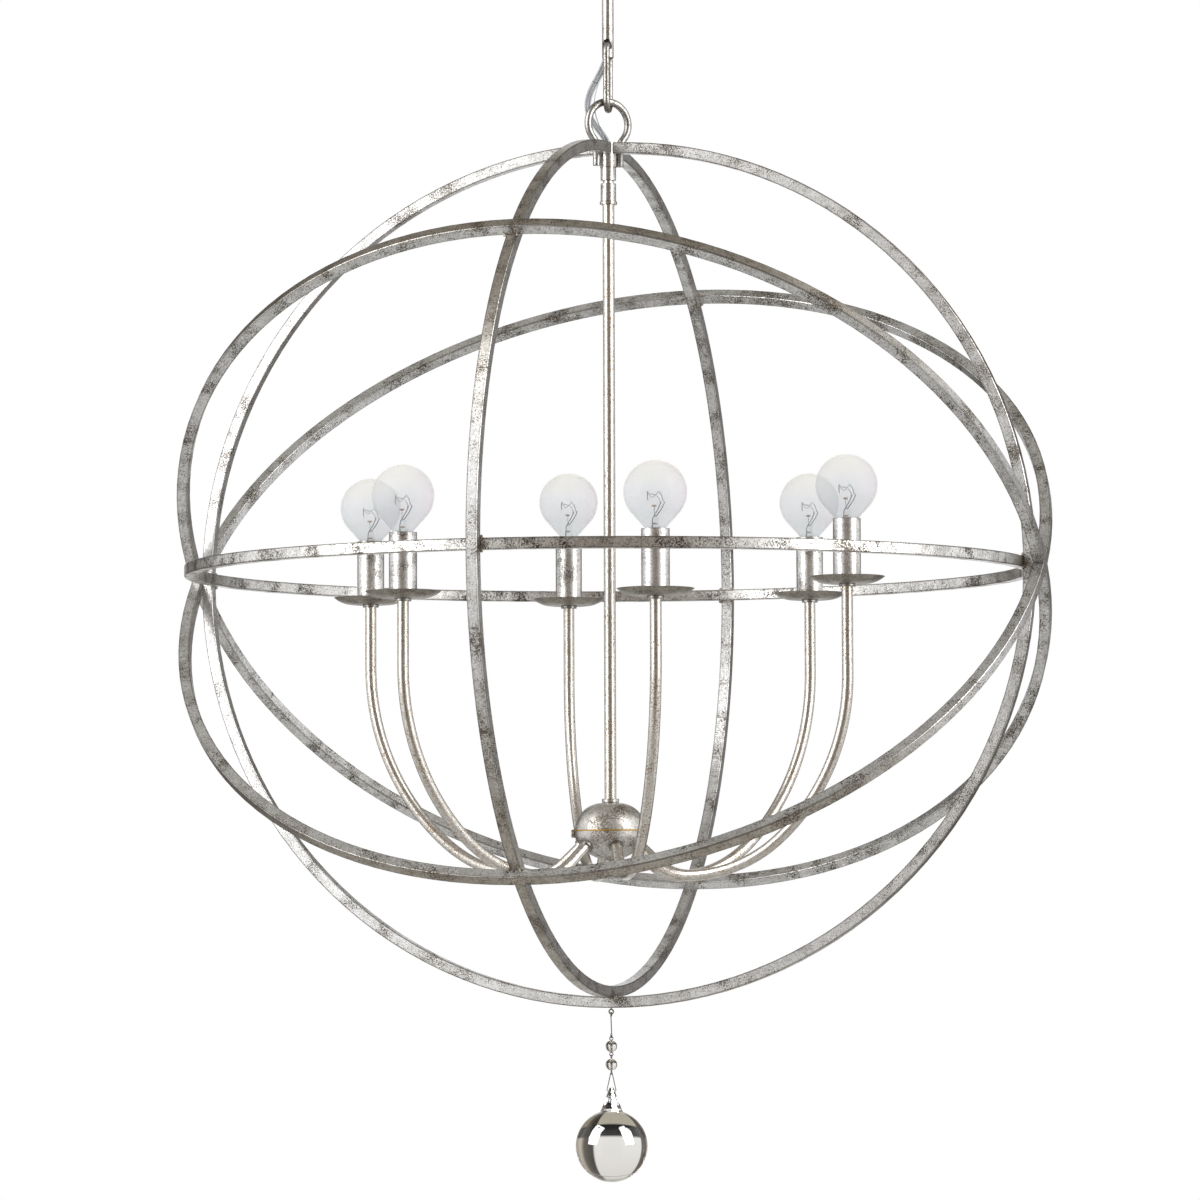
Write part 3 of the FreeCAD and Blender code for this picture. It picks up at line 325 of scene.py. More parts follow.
def silver_leaf(name, pale, dull, speck, edge_tone, drift_mm=16.0, speck_mm=1.2, rough=0.24, worn=0.5,
                outer_tones=None):
    """Antique silver leaf. worn is how much brown size coat shows; the last argument gives the pale and dull
    tones of the browner outer faces.
    """
    material, tree, shader = new_material(name)
    place = add(tree, "ShaderNodeTexCoord").outputs["Object"]
    drift = add(tree, "ShaderNodeTexNoise", {"Vector": place, "Scale": 1 / (drift_mm * mm), "Detail": 3.0,
                                             "Roughness": 0.5}).outputs["Fac"]
    grain = add(tree, "ShaderNodeTexNoise", {"Vector": place, "Scale": 1 / (grain_mm * mm), "Detail": 6.0,
                                             "Roughness": 0.78}).outputs["Fac"]
    fine = add(tree, "ShaderNodeTexNoise", {"Vector": place, "Scale": 1 / (speck_mm * mm), "Detail": 3.0,
                                            "Roughness": 0.8}).outputs["Fac"]
    patch = add(tree, "ShaderNodeTexNoise", {"Vector": place, "Scale": 1 / (patch_mm * mm), "Detail": 3.0,
                                             "Roughness": 0.6}).outputs["Fac"]
    # The foil's tone, from dull to pale
    tone = add(tree, "ShaderNodeMix", {0: 0.3, 2: grain, 3: drift}).outputs[0]
    leaf = add(tree, "ShaderNodeValToRGB", {"Fac": tone}, stops=[(0.38, dull), (0.56, pale)]).outputs["Color"]
    true_normal = add(tree, "ShaderNodeNewGeometry").outputs["Normal"]
    # Browner tones on faces that point out of the orb, most where they also look up or down
    if outer_tones:
        share = browner_outer_faces(tree, place, true_normal)
        outer_tone = add(tree, "ShaderNodeValToRGB", {"Fac": tone}, stops=[(0.36, outer_tones[1]), (0.6, outer_tones[0])])
        leaf = add(tree, "ShaderNodeMix", {0: share, 6: leaf, 7: outer_tone.outputs["Color"]},
                   data_type="RGBA").outputs[2]
    # Brown specks, more of them in some patches
    many = add(tree, "ShaderNodeMapRange", {"Value": patch, "From Min": 0.45, "From Max": 0.68,
                                            "To Min": 0.03 * worn, "To Max": 0.22 * worn}).outputs["Result"]
    level = add(tree, "ShaderNodeMath", {0: fine, 1: many}, operation="ADD").outputs[0]
    specks = add(tree, "ShaderNodeMapRange", {"Value": level, "From Min": 0.58,
                                              "From Max": 0.66}).outputs["Result"]
    specked = add(tree, "ShaderNodeMix", {0: specks, 6: leaf, 7: colour(speck)},
                  data_type="RGBA").outputs[2]
    # Edges rubbed through, broken up by the grain
    rounded = add(tree, "ShaderNodeBevel", {"Radius": worn_edge}, samples=6).outputs["Normal"]
    agree = add(tree, "ShaderNodeVectorMath", {0: rounded, 1: true_normal},
                operation="DOT_PRODUCT").outputs["Value"]
    edge = add(tree, "ShaderNodeMapRange", {"Value": agree, "From Min": 0.99,
                                            "From Max": 0.95}).outputs["Result"]
    edge_share = add(tree, "ShaderNodeMapRange", {"Value": grain, "From Min": 0.35, "From Max": 0.55,
                                                  "To Min": 0.6, "To Max": 1.0}).outputs["Result"]
    edges = add(tree, "ShaderNodeMath", {0: edge, 1: edge_share}, operation="MULTIPLY").outputs[0]
    edged = add(tree, "ShaderNodeMix", {0: edges, 6: specked, 7: colour(edge_tone)},
                data_type="RGBA").outputs[2]
    tree.links.new(edged, shader.inputs["Base Color"])
    # The foil is smooth and the bare size coat is rough
    roughness = add(tree, "ShaderNodeMapRange", {"Value": level, "From Min": 0.35, "From Max": 0.70,
                                                 "To Min": rough, "To Max": rough + 0.2}).outputs["Result"]
    tree.links.new(roughness, shader.inputs["Roughness"])
    shader.inputs["Metallic"].default_value = 1.0
    bump = add(tree, "ShaderNodeBump", {"Height": fine, "Strength": 0.3, "Distance": leaf_relief})
    tree.links.new(bump.outputs["Normal"], shader.inputs["Normal"])
    return material


# %% [markdown]
# The leaf differs from part to part, because it was laid and rubbed by hand. The hoops are browner on their
# outer faces. The sleeves are the palest, the tubes have a golden size coat, and the link is rubbed dark. The
# saucers' leaf is the darkest, as painted shade for their undersides.

# %% The leaf on each kind of part
leaves = {
    "hoop": silver_leaf("hoop_silver_leaf", "#ebebeb", "#bdbcb9", "#5f564b", "#483f36", rough=0.22, worn=0.75,
                        outer_tones=("#b7b0a4", "#857b6e")),
    "level": silver_leaf("level_hoop_silver_leaf", "#f2f1ef", "#b5b2ac", "#463e35", "#483f36", rough=0.22,
                         worn=0.85),
    "sleeve": silver_leaf("sleeve_silver_leaf", "#f0efee", "#cdcac6", "#6b655c", "#6b655c", drift_mm=12.0,
                          speck_mm=1.0, rough=0.2, worn=0.7),
    "tube": silver_leaf("tube_silver_leaf", "#e3e1dd", "#bdb5aa", "#8a6f48", "#8d7a5c", drift_mm=22.0,
                        rough=0.17),
    "turned": silver_leaf("turned_silver_leaf", "#dddcd9", "#b0aca6", "#7d7263", "#7d7263", drift_mm=12.0,
                          rough=0.16),
    "hub": silver_leaf("hub_silver_leaf", "#dbd9d5", "#b2aea8", "#766b5c", "#6a5f4f", drift_mm=9.0,
                       rough=0.34, worn=0.8),
    "link": silver_leaf("link_silver_leaf", "#bfbebb", "#94918d", "#655d54", "#5c544b", drift_mm=9.0,
                        rough=0.22, worn=0.6),
    # The saucers' leaf is darkened as painted shade for their undersides
    "pan": silver_leaf("pan_silver_leaf_painted_shade", "#aaa59c", "#7f7a72", "#5a5146", "#8d877c", drift_mm=9.0, rough=0.3,
                       worn=0.6),
}
print("leaf finishes:", sorted(leaves))

# %% [markdown]
# The other finishes are simple by comparison, and three helpers make them all. Plate, plastic and wire are
# hidden or small, so each is one shader with a faint grain. Crystal is solid glass that bends what is behind
# it. Vinyl and the lamps' stems are so thin that they only tint what is behind them, mostly along their rims.

# %% Helpers for plain, clear and thin finishes


def plain_finish(name, tint, rough, metallic=0.0, drift_mm=2.0):
    """A finish of one colour whose roughness drifts a little, as on any handled surface."""
    material, tree, shader = new_material(name)
    place = add(tree, "ShaderNodeTexCoord").outputs["Object"]
    grain = add(tree, "ShaderNodeTexNoise", {"Vector": place, "Scale": 1 / (drift_mm * mm),
                                             "Detail": 3.0}).outputs["Fac"]
    spread = add(tree, "ShaderNodeMapRange", {"Value": grain, "From Min": 0.3, "From Max": 0.7,
                                              "To Min": rough * 0.8, "To Max": rough * 1.25})
    tree.links.new(spread.outputs["Result"], shader.inputs["Roughness"])
    shader.inputs["Base Color"].default_value = colour(tint)
    shader.inputs["Metallic"].default_value = metallic
    return material


def clear_finish(name, tint, ior, coat=0.0):
    """Solid clear glass that bends what is behind it; a coat adds the polish of cut crystal."""
    material, tree, shader = new_material(name)
    shader.inputs["Base Color"].default_value = colour(tint)
    shader.inputs["Roughness"].default_value = 0.0
    shader.inputs["IOR"].default_value = ior
    shader.inputs["Transmission Weight"].default_value = 1.0
    shader.inputs["Coat Weight"].default_value = coat
    shader.inputs["Coat Roughness"].default_value = 0.0
    shader.inputs["Coat IOR"].default_value = 1.9
    return material


def thin_finish(name, tint, face_share, rim_share):
    """Clear glass or vinyl that bends nothing behind it; its tint shows most where one looks along it."""
    material, tree, shader = new_material(name)
    shader.inputs["Base Color"].default_value = colour(tint)
    shader.inputs["Roughness"].default_value = 0.1
    clear = add(tree, "ShaderNodeBsdfTransparent").outputs[0]
    along = add(tree, "ShaderNodeLayerWeight", {"Blend": 0.3}).outputs["Facing"]
    share = add(tree, "ShaderNodeMapRange", {"Value": along, "From Min": 0.3, "From Max": 0.95,
                                             "To Min": face_share, "To Max": rim_share}).outputs["Result"]
    both = add(tree, "ShaderNodeMixShader", {0: share, 1: clear, 2: shader.outputs[0]}).outputs[0]
    tree.links.new(both, tree.nodes["Material Output"].inputs["Surface"])
    return material


# %% [markdown]
# Each finish is named for what the real one is. Its tint and roughness start from that material's usual ones
# and were then matched to the picture. Rough ones spread the light, so they look even, and smooth ones show
# the room. The prism's index is lower than real glass, so that its small facets stay as clear as in the
# picture.

# %% The other finishes
finishes = {
    # Bright grey plate, dulled where it was handled
    "zinc": plain_finish("zinc_plated_steel", "#b4b6b6", 0.35, 1.0),
    # Moulded black bushings and lamp sockets, with a soft sheen
    "plastic": plain_finish("black_moulded_plastic", "#1c1b1a", 0.45),
    "phenolic": plain_finish("black_phenolic", "#201c19", 0.4),
    # Extruded white insulation, which is all but matt
    "lead": plain_finish("white_insulated_lead", "#dcdad4", 0.5),
    # Rolled caps and drawn wire, which shine
    "cap": plain_finish("nickel_plated_brass", "#bdb39c", 0.25, 1.0),
    "wire": plain_finish("bright_steel_wire", "#77726c", 0.25, 1.0),
    # Thin wires inside a lamp, which look dark against bright glass, and the bead that joins them
    "dark_wire": plain_finish("nickel_filament_wire", "#161412", 0.4),
    "amber": plain_finish("amber_glass_bead", "#9a5f1e", 0.2),
    "stem_glass": thin_finish("lamp_stem_glass", "#cfd6d8", 0.10, 0.6),
    # Copper strands dipped in tin, pale grey through the vinyl
    "tinned": plain_finish("tinned_copper_strand", "#c3c5c8", 0.4),
    "jacket": thin_finish("clear_vinyl", "#6b7279", 0.26, 0.97),
    # Size coat left bare in the hub's groove, and leaf over a rough weld
    "seam": plain_finish("gold_size_seam", "#c79c30", 0.45, 1.0),
    "weld": plain_finish("leafed_weld_bead", "#a0988c", 0.42, 1.0, 1.5),
    # Cut and polished lead glass: no haze, and sharp bright windows
    "crystal": clear_finish("lead_crystal", "#fbfbfa", 1.52),
    "prism": clear_finish("lead_crystal_prism", "#ffffff", 1.33, coat=0.4),
}
print(len(finishes), "other finishes")

# %% [markdown]
# The cord was made before its finishes, because its route decides how far the object spreads. Now the jackets
# get clear vinyl, and the strands and the ground wire get the pale grey of tinned copper.

# %% Dress the cord
for jacket, strands, ground in cords.values():
    jacket.data.materials.append(finishes["jacket"])
    strands.data.materials.append(finishes["tinned"])
    ground.data.materials.append(finishes["tinned"])
print(len(cords), "lengths of cord dressed")

# %% [markdown]
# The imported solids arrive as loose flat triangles. A small geometry-nodes group welds them for shading and
# smooths every edge flatter than 30 degrees, so tubes and hoops shine as curves while corners stay crisp.
# It changes no shape, and it leaves the frame's own mesh alone.

# %% Smooth shading for the solids
crisp_from = math.radians(30)
weld_distance = 0.001 * mm
shading = bpy.data.node_groups.new("smooth_by_angle", "GeometryNodeTree")
shading.interface.new_socket(name="Geometry", in_out="INPUT", socket_type="NodeSocketGeometry")
shading.interface.new_socket(name="Geometry", in_out="OUTPUT", socket_type="NodeSocketGeometry")
group_in = add(shading, "NodeGroupInput")
welded = add(shading, "GeometryNodeMergeByDistance", {"Geometry": group_in.outputs[0],
                                                      "Distance": weld_distance})
smooth = add(shading, "GeometryNodeSetShadeSmooth", {"Geometry": welded.outputs[0], "Shade Smooth": True},
             domain="FACE")
edge_angle = add(shading, "GeometryNodeInputMeshEdgeAngle").outputs["Unsigned Angle"]
is_corner = add(shading, "FunctionNodeCompare", {0: edge_angle, 1: crisp_from}, data_type="FLOAT",
                operation="GREATER_THAN")
crisp = add(shading, "GeometryNodeSetShadeSmooth", {"Geometry": smooth.outputs[0], "Shade Smooth": False,
                                                     "Selection": is_corner.outputs[0]}, domain="EDGE")
add(shading, "NodeGroupOutput", {0: crisp.outputs[0]})
print("shading group:", len(shading.nodes), "nodes")

# %% [markdown]
# Each solid of the frame now gets its finish by name. A real shop would leaf the whole frame in one go, and
# leave plated screws, plastic bushings and the lamps' own parts as they come.

# %% Dress the solids
arms = ["arm_%d" % k for k in range(1, 7)]
dress = [
    (leaves["hoop"], ["side_hoop", "front_hoop", "forward_tilted_hoop", "back_tilted_hoop"]),
    (leaves["level"], ["level_hoop"]),
    (leaves["sleeve"], ["candle_sleeves"]),
    (leaves["tube"], arms + ["stem"]),
    (leaves["turned"], ["canopy", "canopy_screws", "rod_coupling", "down_rod", "top_hub", "swivel_stud",
                        "swivel_body", "stem_collar"]),
    (leaves["hub"], ["hub_dome", "hub_body", "hub_side_screw", "hub_finial"]),
    (leaves["link"], ["hanging_link", "hanging_loop", "arm_collars", "pan_collars"]),
    (leaves["pan"], ["drip_pans"]),
    (finishes["zinc"], ["mounting_strap", "nipple_locknut", "rod_nipple", "lamp_nipples", "hub_tie_rod",
                        "swivel_screw"]),
    (finishes["plastic"], ["outlet_bushing", "hub_bushing"]),
    (finishes["lead"], ["inner_wires", "cord_in_rod"]),
    (finishes["phenolic"], ["lamp_sockets"]),
    (finishes["cap"], ["bulb_caps"]),
    (finishes["wire"], ["drop_eyelet", "drop_pin", "upper_bead_wire", "lower_bead_wire", "drop_bail"]),
    (finishes["prism"], ["drop_prism"]),
]
for material, names in dress:
    for name in names:
        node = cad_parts[name]
        node.data.materials.clear()
        node.data.materials.append(material)
        modifier = node.modifiers.new("smooth_by_angle", "NODES")
        modifier.node_group = shading
    print(material.name, "on", len(names), "nodes")

# %% [markdown]
# Hoops that cross are welded in the corners of each crossing, so the first step is to know where they cross.
# The crossings could be typed in, but they follow from the hoops' own boxes, so they stay right if a hoop
# changes size.

# %% Where the hoops cross
bar = orb_high.y - orb_low.y
tilted_low, tilted_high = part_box("forward_tilted_hoop")
level_low, level_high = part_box("level_hoop")
front_low, front_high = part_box("front_hoop")
side_inner = orb_high.x - bar
level_z = (level_low.z + level_high.z) / 2
front_radius = (front_high.y - front_low.y) / 2 - bar / 2
front_middle = (front_high.z + front_low.z) / 2
tilt = math.atan2((tilted_high.z - tilted_low.z) / 2 - bar / 2, (tilted_high.y - tilted_low.y) / 2 - bar / 2)
X, Y, Z = Vector((1, 0, 0)), Vector((0, 1, 0)), Vector((0, 0, 1))


def crossings():
    """Each crossing's place, the way that one bar runs there, and the way out of the orb."""
    found = []
    for way in (-1, 1):
        found.append((X * (way * side_inner) + Z * level_z, Y, X * way))
        found.append((X * (way * orb_high.x) + Z * orb_centre.z, Y, X * way))
        level_meets = math.sqrt((front_radius - bar / 2) ** 2 - (front_middle - level_z) ** 2)
        found.append((Y * (way * level_meets) + Z * level_z, X, Y * way))
        for slope in (-1, 1):
            out = Y * (way * math.cos(tilt)) + Z * (slope * math.sin(tilt))
            along = out.dot(Z * (orb_centre.z - front_middle))
            reach = -along + math.sqrt(along ** 2 + (front_radius + bar / 2) ** 2
                                       - (orb_centre.z - front_middle) ** 2)
            found.append((Z * orb_centre.z + out * reach, X, out))
    found.append((Z * (orb_low.z + bar), X, -Z))
    return found


print("crossings:", len(crossings()))

# %% [markdown]
# A weld bead is a small rounded heap, a little different each time, filed and leafed over. One low sphere is
# placed in each of the four corners of a crossing, stretched to the bead's size and dented by a noise.
# A bmesh holds the shape while it is made, and a helper turns it into a smooth mesh at the end.

# %% Weld beads


def smooth_mesh(name, form):
    """The mesh of a finished bmesh, shaded smooth; the bmesh is freed."""
    for face in form.faces:
        face.smooth = True
    mesh = bpy.data.meshes.new(name)
    form.to_mesh(mesh)
    form.free()
    return mesh


bead_size = Vector((1.9, 1.9, 1.1)) * mm
corner_reach = bar * 0.55
dent_depth = 0.22
beads = bmesh.new()
for number, (place, run, out) in enumerate(crossings()):
    across = out.cross(run)
    for side in (-1, 1):
        for end in (-1, 1):
            corner = place + run * (side * corner_reach) + across * (end * corner_reach)
            another = Vector((number * 7.1, side * 3.3, end * 5.7))
            made = bmesh.ops.create_icosphere(beads, subdivisions=3, radius=1.0)["verts"]
            for vertex in made:
                dent = 1 + dent_depth * noise.noise(vertex.co * 1.4 + another)
                local = vertex.co * bead_size * dent
                vertex.co = corner + run * local.x + across * local.y + out * local.z
bmesh.ops.recalc_face_normals(beads, faces=beads.faces)
weld_beads = show("hoop_weld_beads", smooth_mesh("hoop_weld_beads", beads), "orb")
weld_beads.data.materials.append(finishes["weld"])

# %% [markdown]
# Turned and blown parts are spun: half of the section is drawn as a few vertices, and the spin operator turns
# it round the axis. A spin can leave doubled points on the axis and turn the shape inside out, so the helper
# merges the doubles and recalculates the normals.

# %% A helper for spun parts


def spun_mesh(name, profile, centre, steps, closed=False):
    """Spin (radius, height) points round the upright line through centre; closed joins last to first."""
    form = bmesh.new()
    verts = [form.verts.new((r, 0, z)) for r, z in profile]
    pairs = list(zip(verts, verts[1:])) + ([(verts[-1], verts[0])] if closed else [])
    edges = [form.edges.new(pair) for pair in pairs]
    bmesh.ops.spin(form, geom=verts + edges, cent=(0, 0, 0), axis=(0, 0, 1), dvec=(0, 0, 0),
                   angle=2 * math.pi, steps=steps, use_merge=True, use_duplicate=False)
    bmesh.ops.remove_doubles(form, verts=form.verts, dist=0.0005 * mm)
    bmesh.ops.recalc_face_normals(form, faces=form.faces)
    bmesh.ops.translate(form, verts=form.verts, vec=centre)
    return smooth_mesh(name, form)


def arc(radius, start, end, steps, middle=(0.0, 0.0)):
    """Points of an arc in the (radius, height) plane, angles in degrees from the equator."""
    angles = [math.radians(start + (end - start) * k / steps) for k in range(steps + 1)]
    return [(middle[0] + radius * math.cos(a), middle[1] + radius * math.sin(a)) for a in angles]


# %% [markdown]
# The dome and the bowl of the arm hub meet in a groove that keeps the gold of the size coat. A thin ring of
# gold, standing a hair proud of the groove, gives that bright line.

# %% Gold line at the hub's seam
dome_low, dome_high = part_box("hub_dome")
seam_radius = dome_high.x
seam_thickness = 0.5 * mm
seam_ring = arc(seam_thickness, -90, 270, 12, (seam_radius, 0.0))[:-1]
seam_mesh = spun_mesh("hub_seam_line", seam_ring, Z * dome_low.z, 96, True)
gold_line = show("hub_seam_line", seam_mesh, "candelabra")
gold_line.data.materials.append(finishes["seam"])

# %% [markdown]
# Each lamp is a small globe of thin glass with a pearly lustre. The lustre is a milky film, so the globe
# veils what is behind it without bending it: a see-through shader mixed with a little glossy white does that,
# with more white at the rim, where one looks along the wall. Its colour holds painted light: cream and
# lighter on top, a painted shade of blue grey below, and a painted pink sheen on the side towards the
# camera's right.

# %% Pearly bulb glass with painted light
globe_low, globe_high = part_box("bulb_1")
globe_radius = (globe_high.x - globe_low.x) / 2
globe_wall = 0.8 * mm
# The side of the painted pink sheen, towards the camera's right
painted_sheen_side = level_right


def bulb_glass(name, centre):
    """Milky see-through glass with a pearly finish and painted light: lighter on top, shaded below, a rosy
    sheen on one side, laid out from the globe's own centre.
    """
    material, tree, shader = new_material(name)
    place = add(tree, "ShaderNodeTexCoord").outputs["Object"]
    local = add(tree, "ShaderNodeMapping", {"Vector": place, "Location": -centre},
                vector_type="POINT").outputs[0]
    height = add(tree, "ShaderNodeVectorMath", {0: local, 1: Z}, operation="DOT_PRODUCT").outputs["Value"]
    across = add(tree, "ShaderNodeVectorMath", {0: local, 1: painted_sheen_side},
                 operation="DOT_PRODUCT").outputs["Value"]
    up = add(tree, "ShaderNodeMapRange", {"Value": height, "From Min": -globe_radius,
                                          "From Max": globe_radius}).outputs["Result"]
    # Painted light: cream and lighter on top, a painted shade of blue grey below
    body = add(tree, "ShaderNodeValToRGB", {"Fac": up}, stops=[
        (0.0, "#dee4e4"), (0.97, "#fffbee"), (0.5, "#e7eaea"), (0.75, "#f5f4ec")]).outputs["Color"]
    # A painted pink sheen on the side towards the camera's right
    painted_sheen_share = add(tree, "ShaderNodeMapRange", {"Value": across, "From Min": 0.2 * globe_radius,
                                            "From Max": 0.95 * globe_radius, "To Max": 0.8}).outputs["Result"]
    painted_light_and_sheen = add(tree, "ShaderNodeMix", {0: painted_sheen_share, 6: body, 7: colour("#eadfe1")},
                 data_type="RGBA").outputs[2]
    tree.links.new(painted_light_and_sheen, shader.inputs["Base Color"])
    shader.inputs["Roughness"].default_value = 0.35
    clear = add(tree, "ShaderNodeBsdfTransparent", {"Color": colour("#fdfdfe")}).outputs[0]
    grazing = add(tree, "ShaderNodeLayerWeight", {"Blend": 0.25}).outputs["Facing"]
    share = add(tree, "ShaderNodeMapRange", {"Value": grazing, "From Min": 0.4, "From Max": 1.0,
                                             "To Min": 0.23, "To Max": 0.42}).outputs["Result"]
    both = add(tree, "ShaderNodeMixShader", {0: share, 1: clear, 2: shader.outputs[0]}).outputs[0]
    tree.links.new(both, tree.nodes["Material Output"].inputs["Surface"])
    return material


print("globe radius %.1f mm" % (globe_radius / mm))

# %% [markdown]
# The side of a globe runs straight from the neck and touches the sphere, like a pear. Its outline is worked
# out from the two radii, drawn a second time for the inside of the wall, and spun as one closed shell.
# The lamps were screwed in by hand, so each stands a little higher or lower than the next.

# %% Bulb globes
neck_radius = 6.7 * mm
cone_depth = 31.8 * mm
neck_depth = (globe_high.z - globe_low.z) - globe_radius
# How far each lamp is screwed out of its socket, in millimetres
lamp_out = (-1.5, 0.8, 8.1, -0.8, 0.7, 0.3)


def globe_section(radius, neck, depth):
    """Half a globe's outline: top, round side, the straight side that touches it, and the neck."""
    turn = math.atan2(cone_depth, neck) - math.acos(radius / math.hypot(cone_depth, neck))
    touch = (radius * math.cos(turn), -radius * math.sin(turn))
    slope = (touch[0] - neck) / (cone_depth + touch[1])
    foot = neck + max(0.0, cone_depth - depth) * slope
    outline = [(0.0, radius)] + arc(radius, 89, -math.degrees(turn), 30)
    if depth > cone_depth:
        outline.append((neck, -cone_depth))
    return outline + [(foot, -depth)]


lamp_middles = []
for k in range(1, 7):
    low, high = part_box("bulb_%d" % k)
    out = lamp_out[k - 1] * mm
    middle = Vector(((low.x + high.x) / 2, (low.y + high.y) / 2, high.z - globe_radius + out))
    lamp_middles.append(middle)
    outer = globe_section(globe_radius, neck_radius, neck_depth + out)
    inner = globe_section(globe_radius - globe_wall, neck_radius - globe_wall, neck_depth + out)
    mesh = spun_mesh("bulb_globe_%d" % k, outer + list(reversed(inner)), middle, 80)
    globe = show("bulb_globe_%d" % k, mesh, "candelabra")
    globe.data.materials.append(bulb_glass("pearly_bulb_glass_painted_light_%d" % k, middle))
    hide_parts("bulb_%d" % k)

# %% [markdown]
# Inside each globe stands a clear glass stem. Two nickel leads leave it to the right and carry one end of a
# zigzag filament, a post holds the other end, and an amber bead joins the middle supports. The wires are
# drawn from points in millimetres to the right, behind and above the globe's centre, each with its radius.

# %% Points of the filaments and their supports
lamp_wires = [
    # A short post on the left
    ([(-6.1, 0.6, -6.9), (-6.4, 0.3, -2.2), (-6.1, 0.0, 0.4)], 0.42),
    # The zigzag filament, a loop of it in front, and a support behind
    ([(-6.1, 0.0, 0.4), (-4.8, -0.8, -2.6), (-3.9, 1.6, -1.2), (-0.6, 1.4, -2.3), (0.4, 0.6, -2.6),
      (2.6, 1.2, 0.5), (4.9, 0.2, -2.2), (6.4, 0.0, -7.4), (7.5, 0.0, -8.4)], 0.34),
    ([(-4.4, -1.0, -3.2), (-2.3, -1.8, -4.9), (-0.5, -1.4, -3.5), (0.4, 0.6, -2.6)], 0.3),
    ([(1.4, 0.8, -3.3), (3.2, 0.6, -5.6), (4.4, 0.2, -8.6)], 0.3),
    # Two leads on the right, which lean in to the stem
    ([(7.6, 0.0, -8.1), (7.4, 0.0, -9.0), (5.4, -0.4, -13.4), (2.9, -0.4, -17.0), (0.7, 0.0, -19.9)], 0.46),
    ([(4.3, 0.2, -8.4), (4.0, 0.2, -10.0), (2.0, 0.0, -14.6), (-1.2, 0.0, -19.6)], 0.46),
    # Where a lead goes down inside the stem, and the bead's thin support
    ([(0.7, 0.0, -19.9), (-1.4, 0.0, -19.9), (-2.1, 0.2, -21.4), (-2.6, 0.4, -25.6),
      (-2.5, 0.4, -32.5)], 0.5),
    ([(-0.7, 0.6, -11.5), (-0.9, 0.6, -16.0), (0.2, 0.4, -20.5)], 0.24),
]
stem_section = [(r * mm, z * mm) for r, z in (
    (0.0, -19.6), (1.9, -19.8), (2.6, -21.0), (2.9, -25.0), (4.2, -32.5), (0.0, -32.5))]
# Each amber bead's place, and its half width, depth and height
amber_places = [((-0.9, 0.6, -11.4), (2.2, 1.1, 0.95)), ((4.3, 0.2, -9.0), (0.8, 0.8, 1.1)),
                ((-0.6, 0.2, -26.0), (2.5, 1.2, 0.85))]
print(len(lamp_wires), "wires and", len(amber_places), "amber beads in each lamp")

# %% [markdown]
# The same few points serve all six lamps. The wires are swept, the stem is spun, and an amber bead is a small
# sphere stretched to its size. All wires become one piece, all stems another and all beads a third, because
# each kind has one finish and turns with the candelabra.

# %% Filaments, stems and amber beads
lamp_behind = level_right.cross(-Z)


def in_lamp(middle, x, y, z):
    """A place in a lamp, from metres to the right, behind and above the globe's centre."""
    return middle + level_right * x + lamp_behind * y + Z * z


wires, stems, drops = bmesh.new(), bmesh.new(), bmesh.new()
for middle in lamp_middles:
    parts = [(stems, spun_mesh("lamp_stem", stem_section, middle, 20))]
    for path, radius in lamp_wires:
        bent = [in_lamp(middle, x * mm, y * mm, z * mm) for x, y, z in path]
        parts.append((wires, wire_mesh("lamp_wire", [bent], radius * mm, 8)))
    for form, part in parts:
        form.from_mesh(part)
        bpy.data.meshes.remove(part)
    for (x, y, z), (wide, deep, high) in amber_places:
        for vertex in bmesh.ops.create_icosphere(drops, subdivisions=3, radius=mm)["verts"]:
            vertex.co = in_lamp(middle, x * mm + vertex.co.x * wide, y * mm + vertex.co.y * deep,
                                z * mm + vertex.co.z * high)
for name, form, finish in (("lamp_filament_wires", wires, "dark_wire"), ("lamp_stems", stems, "stem_glass"),
                           ("lamp_amber_beads", drops, "amber")):
    bmesh.ops.recalc_face_normals(form, faces=form.faces)
    piece = show(name, smooth_mesh(name, form), "candelabra")
    piece.data.materials.append(finishes[finish])
    if name == "lamp_stems":
        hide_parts("bulb_mounts")

# %% [markdown]
# The crystal drop has to be truly round, because glass turns every flat on its surface into a kink in what is
# seen through it. The ball is a fine sphere, a hair smaller than the solid so that it never stands past it,
# and the beads are spun with their bores.

# %% Crystal ball and beads
ball_low, ball_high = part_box("drop_ball")
ball_clearance = 0.04 * mm
ball_radius = (ball_high.x - ball_low.x) / 2 - ball_clearance
ball_form = bmesh.new()
bmesh.ops.create_icosphere(ball_form, subdivisions=6, radius=ball_radius)
bmesh.ops.translate(ball_form, verts=ball_form.verts, vec=(ball_low + ball_high) / 2)
ball = show("crystal_ball", smooth_mesh("crystal_ball", ball_form), "ball_body")
ball.data.materials.append(finishes["crystal"])
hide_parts("drop_ball")

bead_bore = 0.7 * mm
for where in ("upper", "lower"):
    low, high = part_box(where + "_bead")
    bead_radius = (high.x - low.x) / 2
    cut = math.degrees(math.acos(bead_bore / bead_radius))
    name = "crystal_bead_" + where
    mesh = spun_mesh(name, arc(bead_radius, cut, -cut, 28), (low + high) / 2, 56, True)
    bead = show(name, mesh, where + "_bead_body")
    bead.data.materials.append(finishes["crystal"])
    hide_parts(where + "_bead")

# %% [markdown]
# The studio. The picture has a pure white ground, which here is the world as the camera sees it. Metal shows
# its room, so for reflections the world is a room: a dim warm side where the camera stands, bright walls
# to both sides, dark flags behind that draw the thin dark outlines on pale tubes, and a dim ceiling.
# The walls are a ramp over the angle from the camera's side, so each stop is written as that angle.

